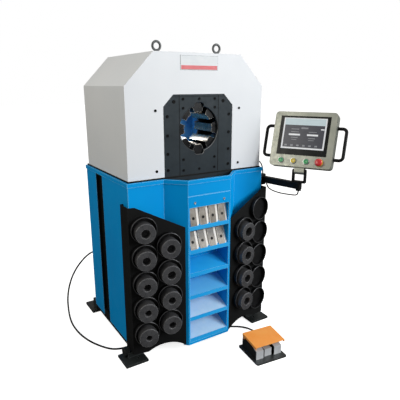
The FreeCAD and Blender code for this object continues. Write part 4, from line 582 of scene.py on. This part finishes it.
def make_blocks():
    """Four die blocks on the top shelf and four on the next one."""
    bright, upper, lower, holes = [], [], [], []
    for shelf, lean, fronts in ((5, 12, upper), (4, 22, lower)):
        foot = SHELF_LOW + SHELF_PITCH * shelf
        for i in range(4):
            x = BLOCK_SHIFT + BLOCK_PITCH * (i - 1.5)
            die_block(x, foot, math.radians(lean), bright, fronts, holes, shelf == 5)
    # The fronts take the painted-shade copies of the steel, all other faces the painted-highlight copy.
    ground = mesh_piece("block_highlight_faces", *joined(bright), BLOCK_HIGHLIGHT, "machine", 20)
    upper = mesh_piece("upper_block_fronts", *joined(upper), UPPER_FRONT_SHADE, "machine", 20)
    lower = mesh_piece("lower_block_fronts", *joined(lower), LOWER_FRONT_SHADE, "machine", 20)
    bores = mesh_piece("block_holes", *joined(holes), BLACK_OXIDE, "machine")
    for piece in (ground, upper, lower):
        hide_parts("shelf_die_blocks")


RACK_TURN = math.radians(10.2)
RACK_EDGE_X = 0.431
RACK_EDGE_Y = -0.385
CUP_PITCH = 0.141
OUTER_CUPS = [(0.360, 0.183 + CUP_PITCH * i) for i in range(5)]
INNER_CUPS = [(0.235, 0.229 + CUP_PITCH * i) for i in range(4)]
SET_DROP = 0.0103
SET_R = 0.0514
SET_FRONT = 0.053

# Bores of the stored sets, from the lowest up, as shares of a set's radius
OUTER_BORES = [0.30, 0.33, 0.36, 0.40, 0.44]
INNER_BORES = {"left": [0.36, 0.38, 0.42, 0.42], "right": [0.45, 0.45, 0.47, 0.50]}


def on_board(x, z, side):
    """Place on a rack board, with local Z pointing away from it and local Y up."""
    y = RACK_EDGE_Y - (RACK_EDGE_X - x) * math.tan(RACK_TURN)
    return (Matrix.Translation((x * side, y, z)) @ Matrix.Rotation(RACK_TURN * side, 4, "Z")
            @ Matrix.Rotation(math.pi / 2, 4, "X"))


def round_holder(place):
    """Turned cup with a rolled rim and its locating pin."""
    cup = [(0.0648, 0), (0.0655, 0.0008), (0.0655, 0.0240), (0.0648, 0.0249), (0.0640, 0.0250),
           (0.0628, 0.0248), (0.0622, 0.0240), (0.0622, 0.0034)]
    pin = [(0.0040, 0.0020), (0.0040, 0.0190), (0.0034, 0.0200), (0.0012, 0.0202)]
    return joined([lathe(cup, place, 64), lathe(pin, place @ Matrix.Translation((0, 0.0545, 0)), 16)])


def round_rim(place):
    """Rolled edge of a cup, a separate piece for a painted highlight."""
    profile = [(0.0656, 0.0236), (0.0656, 0.0244), (0.0650, 0.0251), (0.0641, 0.0253), (0.0628, 0.0251)]
    verts, faces = lathe(profile, place, 64)
    return verts, faces[:-2]


def round_set(place, bore):
    """Turned ring of eight die segments, chamfered outside and in the bore."""
    ring = [(SET_R - 0.0008, 0.0032), (SET_R, 0.0040), (SET_R, SET_FRONT - 0.0024),
            (SET_R - 0.0022, SET_FRONT), (bore + 0.0020, SET_FRONT), (bore, SET_FRONT - 0.0020),
            (bore, 0.0060)]
    return lathe(ring, place, 64)


def set_joints(place, bore):
    """Fine dark joints between the eight segments on a set's front."""
    low = (bore + 0.0021, -SET_FRONT - 0.0001, -0.0003)
    high = (SET_R - 0.0024, -SET_FRONT + 0.001, 0.0003)
    lines = []
    for i in range(8):
        turn = Matrix.Rotation(math.pi / 8 + math.pi / 4 * i, 4, "Z")
        lines.append(slab(low, high, place @ turn @ Matrix.Rotation(-math.pi / 2, 4, "X")))
    return joined(lines)


def make_racks():
    """Holders on both boards, nine stored sets on the left and four on the right."""
    for name, side in (("left", -1), ("right", 1)):
        spots = [on_board(x, z, side) for x, z in OUTER_CUPS + INNER_CUPS]
        cups = joined([round_holder(spot) for spot in spots])
        holders = mesh_piece(name + "_round_holders", *cups, CUP_BLACK, "machine")
        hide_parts(name + "_die_holders")
        # Rolled edges of the cups, in a lighter tone that paints their highlight.
        edges = joined([round_rim(spot) for spot in spots])
        rims = mesh_piece(name + "_holder_rims", *edges, CUP_RIM, "machine")
        stored = list(zip(INNER_CUPS, INNER_BORES[name]))
        if side < 0:
            stored += list(zip(OUTER_CUPS, OUTER_BORES))
        stored = [(on_board(x, z - SET_DROP, side), SET_R * share) for (x, z), share in stored]
        rings = joined([round_set(*item) for item in stored])
        sets = mesh_piece(name + "_round_sets", *rings, SET_STEEL, "machine")
        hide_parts(name + "_die_sets")
        joints = joined([set_joints(*item) for item in stored])
        lines = mesh_piece(name + "_set_joints", *joints, BLACK_OXIDE, "machine")


def ring_shape(centre, middle, bar):
    """Round bar bent into a ring that stands across the machine."""
    verts, faces = [], []
    around, across = 48, 16
    for i in range(around):
        a = 2 * math.pi * i / around
        for j in range(across):
            b = 2 * math.pi * j / across
            reach = middle + bar * math.cos(b)
            offset = Vector((reach * math.cos(a), bar * math.sin(b), reach * math.sin(a)))
            verts.append(Vector(centre) + offset)
    for i in range(around):
        for j in range(across):
            near, far = i * across, (i + 1) % around * across
            k = (j + 1) % across
            faces.append((near + j, far + j, far + k, near + k))
    return verts, faces


EYE_X = 0.178
EYE_Y = -0.230
EYE_RISE = 0.033
EYE_RING_R = 0.021
EYE_BAR_R = 0.006


def make_eyes():
    """Forged lifting eyes on turned collars."""
    collar = [(0.0145, 0), (0.0150, 0.0006), (0.0150, 0.0052), (0.0138, 0.0068), (0.0100, 0.0080),
              (0.0078, 0.0110), (0.0066, 0.0140)]
    parts = []
    for x in (-EYE_X, EYE_X):
        parts.append(lathe(collar, Matrix.Translation((x, EYE_Y, HEAD_TOP))))
        parts.append(ring_shape((x, EYE_Y, HEAD_TOP + EYE_RISE), EYE_RING_R, EYE_BAR_R))
    eyes = mesh_piece("forged_eyes", *joined(parts), FORGED, "machine")
    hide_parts("lifting_eyes")


def bent_bar(name, points, bend, radius, mat, body):
    """Round bar along straight runs joined by arcs."""
    line = [Vector(points[0])]
    for before, corner, after in zip(points, points[1:], points[2:]):
        corner = Vector(corner)
        first = (Vector(before) - corner).normalized()
        second = (Vector(after) - corner).normalized()
        half = first.angle(second) / 2
        reach = bend / math.tan(half)
        centre = corner + (first + second).normalized() * bend / math.sin(half)
        start = corner + first * reach - centre
        end = corner + second * reach - centre
        line += [centre + start.slerp(end, k / 8).normalized() * bend for k in range(9)]
    line.append(Vector(points[-1]))
    curve = bpy.data.curves.new(name, "CURVE")
    curve.dimensions = "3D"
    curve.bevel_depth = radius
    curve.bevel_resolution = 5
    curve.use_fill_caps = True
    spline = curve.splines.new("POLY")
    spline.points.add(len(line) - 1)
    for target, point in zip(spline.points, line):
        target.co = (*point, 1)
    curve.materials.append(mat)
    obj = bpy.data.objects.new(name, curve)
    bpy.context.scene.collection.objects.link(obj)
    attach(obj, body)
    return obj


elbow = PIVOT + ARM_LONG * Vector((math.cos(ARM_TURN), math.sin(ARM_TURN), 0))
panel_place = (Matrix.Translation((elbow.x, elbow.y, TILT_HIGH))
               @ Matrix.Rotation(PANEL_TURN, 4, "Z") @ Matrix.Rotation(PANEL_TILT, 4, "X"))


def panel_at(x, y, z):
    """Place on the panel, with local Z pointing out of its face."""
    return panel_place @ Matrix.Translation((x, y, z)) @ Matrix.Rotation(math.pi / 2, 4, "X")


HANDLE_NEAR = 0.170
HANDLE_FAR = 0.218
HANDLE_LOW = 0.078
HANDLE_TOP = 0.246
HANDLE_BEND = 0.020
HANDLE_R = 0.0088


def make_handles():
    """Bent bars at the panel's sides, each end in a round foot."""
    corners = [(HANDLE_NEAR, HANDLE_LOW), (HANDLE_FAR, HANDLE_LOW), (HANDLE_FAR, HANDLE_TOP),
               (HANDLE_NEAR, HANDLE_TOP)]
    foot = [(0.0115, 0), (0.0115, 0.0035), (0.0105, 0.0050), (0.0066, 0.0055)]
    for name, side in (("left_handle", -1), ("right_handle", 1)):
        points = [panel_place @ Vector((x * side, 0, z)) for x, z in corners]
        bar = bent_bar(name, points, HANDLE_BEND, HANDLE_R, PLASTIC, "touch_panel")
        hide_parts("panel_handles")
        outward = Matrix.Rotation(math.pi / 2 * side, 4, "Y")
        feet = []
        for z in (HANDLE_LOW, HANDLE_TOP):
            here = panel_place @ Matrix.Translation((HANDLE_NEAR * side, 0, z)) @ outward
            feet.append(lathe(foot, here, 24))
        piece = mesh_piece(name + "_feet", *joined(feet), PLASTIC, "touch_panel")


def make_buttons():
    """Domed push buttons in bright bezels, and the emergency stop."""
    caps = (("start_button", GREEN, "green_cap"), ("mode_button", YELLOW, "yellow_cap"),
            ("open_button", GREEN, "green_cap"))
    cap = [(0.0108, -0.015), (0.0108, 0.0042), (0.0130, 0.0048), (0.0130, 0.0082),
           (0.0124, 0.0092), (0.0108, 0.0095), (0.0100, 0.0088), (0.0052, 0.0086)]
    rim = [(0.0136, 0.0030), (0.0166, 0.0030), (0.0166, 0.0044), (0.0160, 0.0052), (0.0143, 0.0054),
           (0.0136, 0.0048)]
    count = 32
    last = count * (len(rim) - 1)
    bore_faces = [(last + k, last + (k + 1) % count, (k + 1) % count, k) for k in range(count)]
    for i, (name, mat, slot) in enumerate(caps):
        here = panel_at(BUTTON_PITCH * (i - 1.5), CASE_FRONT, BUTTON_HIGH)
        piece = mesh_piece(name + "_cap", *lathe(cap, here, count), mat, name)
        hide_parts(name)
        verts, faces = lathe(rim, here, count)
        bezel = mesh_piece(name + "_bezel", verts, faces[:-2] + bore_faces, ZINC, "touch_panel")
    here = panel_at(BUTTON_PITCH * 1.5, CASE_FRONT, BUTTON_HIGH)
    stop = [(0.0108, -0.015), (0.0108, 0.0120), (0.0185, 0.0125), (0.0200, 0.0145), (0.0200, 0.0185),
            (0.0190, 0.0215), (0.0165, 0.0242), (0.0120, 0.0255), (0.0050, 0.0260)]
    piece = mesh_piece("emergency_stop_cap", *lathe(stop, here, 48), RED, "emergency_stop")
    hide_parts("emergency_stop")
    collar = [(0.0210, 0), (0.0210, 0.0012), (0.0200, 0.0018), (0.0120, 0.0018)]
    ring = mesh_piece("emergency_stop_collar", *lathe(collar, here, 48), YELLOW, "touch_panel")


GLASS_LOW = 0.087
GLASS_HALF = 0.136
GLASS_HIGH = 0.213


def screen_part(name, mat, x0, x1, z0, z1, lift):
    """Flat shape on the screen, in parts of the glass from its lower left corner."""
    front = CASE_FRONT - lift
    xs = [-GLASS_HALF + 2 * GLASS_HALF * x for x in (x0, x1)]
    zs = [GLASS_LOW + GLASS_HIGH * z for z in (z0, z1)]
    part = slab((xs[0], front - 0.0001, zs[0]), (xs[1], front, zs[1]), panel_place)
    piece = mesh_piece(name, *part, mat, "touch_panel")


def make_screen():
    """Lit picture on the glass: a pale frame, a pale top band, a dark field and plain bars."""
    left, right, low, high = 0.07, 0.935, 0.155, 0.955
    band_low = 0.77
    screen_part("screen_frame", SCREEN_WHITE, left, right, low, high, 0.0001)
    screen_part("screen_band", SCREEN_PALE, left + 0.025, right - 0.025, band_low, high - 0.02, 0.0003)
    screen_part("screen_field", SCREEN_FIELD, left + 0.03, right - 0.03, low + 0.04, band_low, 0.0003)
    # Left, right, low and high edges of each bar, and its material
    bars = [(0.20, 0.43, 0.500, 0.545, SCREEN_WHITE), (0.57, 0.79, 0.500, 0.545, SCREEN_WHITE),
            (0.24, 0.40, 0.655, 0.675, SCREEN_GREY), (0.24, 0.40, 0.585, 0.603, SCREEN_GREY),
            (0.44, 0.58, 0.675, 0.715, SCREEN_GREY), (0.83, 0.90, 0.660, 0.690, SCREEN_WHITE),
            (0.60, 0.76, 0.590, 0.606, SCREEN_GREY), (0.25, 0.39, 0.440, 0.458, SCREEN_GREY),
            (0.27, 0.37, 0.385, 0.400, SCREEN_GREY), (0.60, 0.74, 0.430, 0.448, SCREEN_GREY),
            (0.61, 0.72, 0.380, 0.394, SCREEN_GREY)]
    bars += [(0.14 + 0.122 * i, 0.19 + 0.122 * i, 0.225, 0.265, SCREEN_GREY) for i in range(6)]
    for i, (x0, x1, z0, z1, mat) in enumerate(bars):
        screen_part("screen_bar_%d" % i, mat, x0, x1, z0, z1, 0.0005)


def cord_curve(name, points, radius, body):
    """Smooth cord on a NURBS line through its route."""
    curve = bpy.data.curves.new(name, "CURVE")
    curve.dimensions = "3D"
    curve.bevel_depth = radius
    curve.bevel_resolution = 5
    curve.resolution_u = 10
    curve.use_fill_caps = True
    spline = curve.splines.new("NURBS")
    spline.points.add(len(points) - 1)
    for target, point in zip(spline.points, points):
        target.co = (*point, 1)
    spline.use_endpoint_u = True
    spline.order_u = 3
    curve.materials.append(RUBBER)
    obj = bpy.data.objects.new(name, curve)
    bpy.context.scene.collection.objects.link(obj)
    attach(obj, body)
    return obj


PEDAL_CORD_R = 0.005
PANEL_CORD_R = 0.0035

# Route of the pedal cord from the cabinet's gland to the pedal's gland, as in part.py
PEDAL_ROUTE = [
    (-0.385, 0.279, 0.395), (-0.385, 0.303, 0.395), (-0.398, 0.335, 0.386), (-0.446, 0.352, 0.346),
    (-0.506, 0.352, 0.280), (-0.548, 0.342, 0.204), (-0.574, 0.322, 0.124), (-0.584, 0.288, 0.052),
    (-0.590, 0.232, 0.009), (-0.594, 0.152, 0.0052), (-0.588, 0.054, 0.0052), (-0.566, -0.044, 0.0052),
    (-0.530, -0.126, 0.0052), (-0.484, -0.196, 0.0052), (-0.424, -0.222, 0.0052),
    (-0.346, -0.216, 0.0052), (-0.250, -0.232, 0.0052), (-0.142, -0.258, 0.0052),
    (-0.028, -0.287, 0.0052), (0.082, -0.314, 0.0052), (0.176, -0.341, 0.0052),
    (0.244, -0.375, 0.0052), (0.286, -0.418, 0.006), (0.294, -0.474, 0.013), (0.2752, -0.5309, 0.034),
    (0.27248, -0.55476, 0.034),
]

# Route of the cord from the head to the arm's pivot
HEAD_ROUTE = [
    (0.402, -0.318, 1.004), (0.424, -0.319, 1.002), (0.441, -0.321, 0.984), (0.450, -0.322, 0.962),
    (0.4545, -0.322, 0.942), (0.455, -0.322, 0.921),
]

# Distance along the arm and height of the cord under it
ARM_ROUTE_ALONG = [(0.030, 0.8733), (0.036, 0.851), (0.064, 0.835), (0.126, 0.827), (0.200, 0.831),
                   (0.244, 0.835), (0.252, 0.854), (0.252, 0.864)]


def sleeve(name, start, end, radius, tip, body):
    """Ribbed, tapering strain relief on a cord."""
    run = Vector(end) - Vector(start)
    rings = []
    ribs = 6
    for i in range(ribs):
        here = i / ribs
        wide = radius + (tip - radius) * here
        profile = [(wide, 0), (wide, 0.55), (wide * 0.86, 0.65), (wide * 0.86, 0.95)]
        rings += [(r, run.length * (here + share / ribs)) for r, share in profile]
    rings.append((tip, run.length))
    piece = mesh_piece(name, *lathe(rings, facing(start, run), 24), PLASTIC, body)
    return piece


def make_cords():
    """The pedal's cord, the cord from the head to the arm and the one under the arm."""
    pedal = cord_curve("pedal_cord_line", PEDAL_ROUTE, PEDAL_CORD_R, "machine")
    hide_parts("pedal_cord")
    root, tip = 0.0098, 0.0062
    reliefs = [sleeve("cabinet_relief", PEDAL_ROUTE[0], PEDAL_ROUTE[1], root, tip, "machine"),
               sleeve("pedal_relief", PEDAL_ROUTE[-1], PEDAL_ROUTE[-2], root, tip, "machine")]
    head = cord_curve("head_cord_line", HEAD_ROUTE, PANEL_CORD_R, "machine")
    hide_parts("head_cord")
    along = Vector((math.cos(ARM_TURN), math.sin(ARM_TURN), 0))
    route = [tuple(PIVOT + along * x + Vector((0, 0, z))) for x, z in ARM_ROUTE_ALONG]
    arm = cord_curve("arm_cord_line", route, PANEL_CORD_R, "panel_arm")
    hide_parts("arm_cord")


def make_stage():
    """Pale floor, soft lights and the photograph's camera."""
    floor = bpy.data.meshes.new("floor")
    floor.from_pydata([(-30, -30, 0), (30, -30, 0), (30, 30, 0), (-30, 30, 0)], [], [(0, 1, 2, 3)])
    pale = material("floor_white", colour(240, 240, 239), colour(237, 237, 236), 0.7, cloud=0.5, gloss=0.1)
    tree = pale.node_tree
    shader = tree.nodes["Principled BSDF"]
    path = add(tree, "ShaderNodeLightPath")
    tone = shader.inputs["Base Color"].links[0].from_socket
    seen = mixed(tree, path.outputs["Is Camera Ray"], colour(95, 95, 95), tone)
    tree.links.new(seen, shader.inputs["Base Color"])
    shader.inputs["Emission Color"].default_value = (1, 1, 1, 1)
    glow = ranged(tree, path.outputs["Is Camera Ray"], 0, 1, 0, 0.8)
    tree.links.new(glow, shader.inputs["Emission Strength"])
    floor.materials.append(pale)
    ground = bpy.data.objects.new("floor", floor)
    bpy.context.scene.collection.objects.link(ground)

    world = bpy.data.worlds.new("studio")
    world.use_nodes = True
    tree = world.node_tree
    tree.nodes.clear()
    seen = add(tree, "ShaderNodeBackground", {"Color": (1, 1, 1, 1), "Strength": 1.0})
    lit = add(tree, "ShaderNodeBackground", {"Color": (1, 0.985, 0.95, 1), "Strength": 0.40})
    path = add(tree, "ShaderNodeLightPath")
    choice = {0: path.outputs["Is Camera Ray"], 1: lit.outputs[0], 2: seen.outputs[0]}
    both = add(tree, "ShaderNodeMixShader", choice)
    add(tree, "ShaderNodeOutputWorld", {"Surface": both.outputs[0]})
    bpy.context.scene.world = world
    bpy.context.scene.view_settings.view_transform = "Standard"

    def soft_light(name, place, target, wide, power, tint=(1, 1, 1)):
        """Square light at a place, turned to a target and unseen by the camera."""
        light = bpy.data.lights.new(name, "AREA")
        light.size = wide
        light.energy = power
        light.color = tint
        obj = bpy.data.objects.new(name, light)
        obj.location = place
        obj.rotation_euler = (Vector(target) - Vector(place)).to_track_quat("-Z", "Y").to_euler()
        obj.visible_camera = False
        bpy.context.scene.collection.objects.link(obj)

    soft_light("key", (3.6, -5.6, 3.1), (0, -0.35, 1.0),
               wide=3.4, power=400, tint=(0.96, 0.985, 1.0))
    soft_light("top", (-0.2, -0.8, 3.8), (0, -0.2, 0.9), wide=2.4, power=9)
    soft_light("left_fill", (-2.4, -0.4, 2.3), (-0.4, 0, 1.3),
               wide=1.4, power=18.5, tint=(1.0, 0.96, 0.84))
    soft_light("throat", (0.02, 0.06, 1.375), (0.02, -0.10, 1.08),
               wide=0.10, power=0.28, tint=(1.0, 0.97, 0.93))
    soft_light("tunnel", (0.10, 0.10, 1.36), (-0.2, 0.20, 1.15), wide=0.10, power=1.9)

    lens = bpy.data.cameras.new("camera")
    lens.lens = CAMERA_LENS
    lens.sensor_width = 36
    camera = bpy.data.objects.new("camera", lens)
    camera.location = CAMERA_PLACE
    camera.rotation_euler = Euler((math.radians(90 - CAMERA_DIP), 0, math.radians(CAMERA_TURN)))
    bpy.context.scene.collection.objects.link(camera)
    bpy.context.scene.camera = camera


make_stage()
make_cords()
make_screws()
make_centre_plate()
make_plate_lines()
make_blocks()
make_racks()
make_eyes()
make_nameplate()
make_handles()
make_buttons()
make_screen()
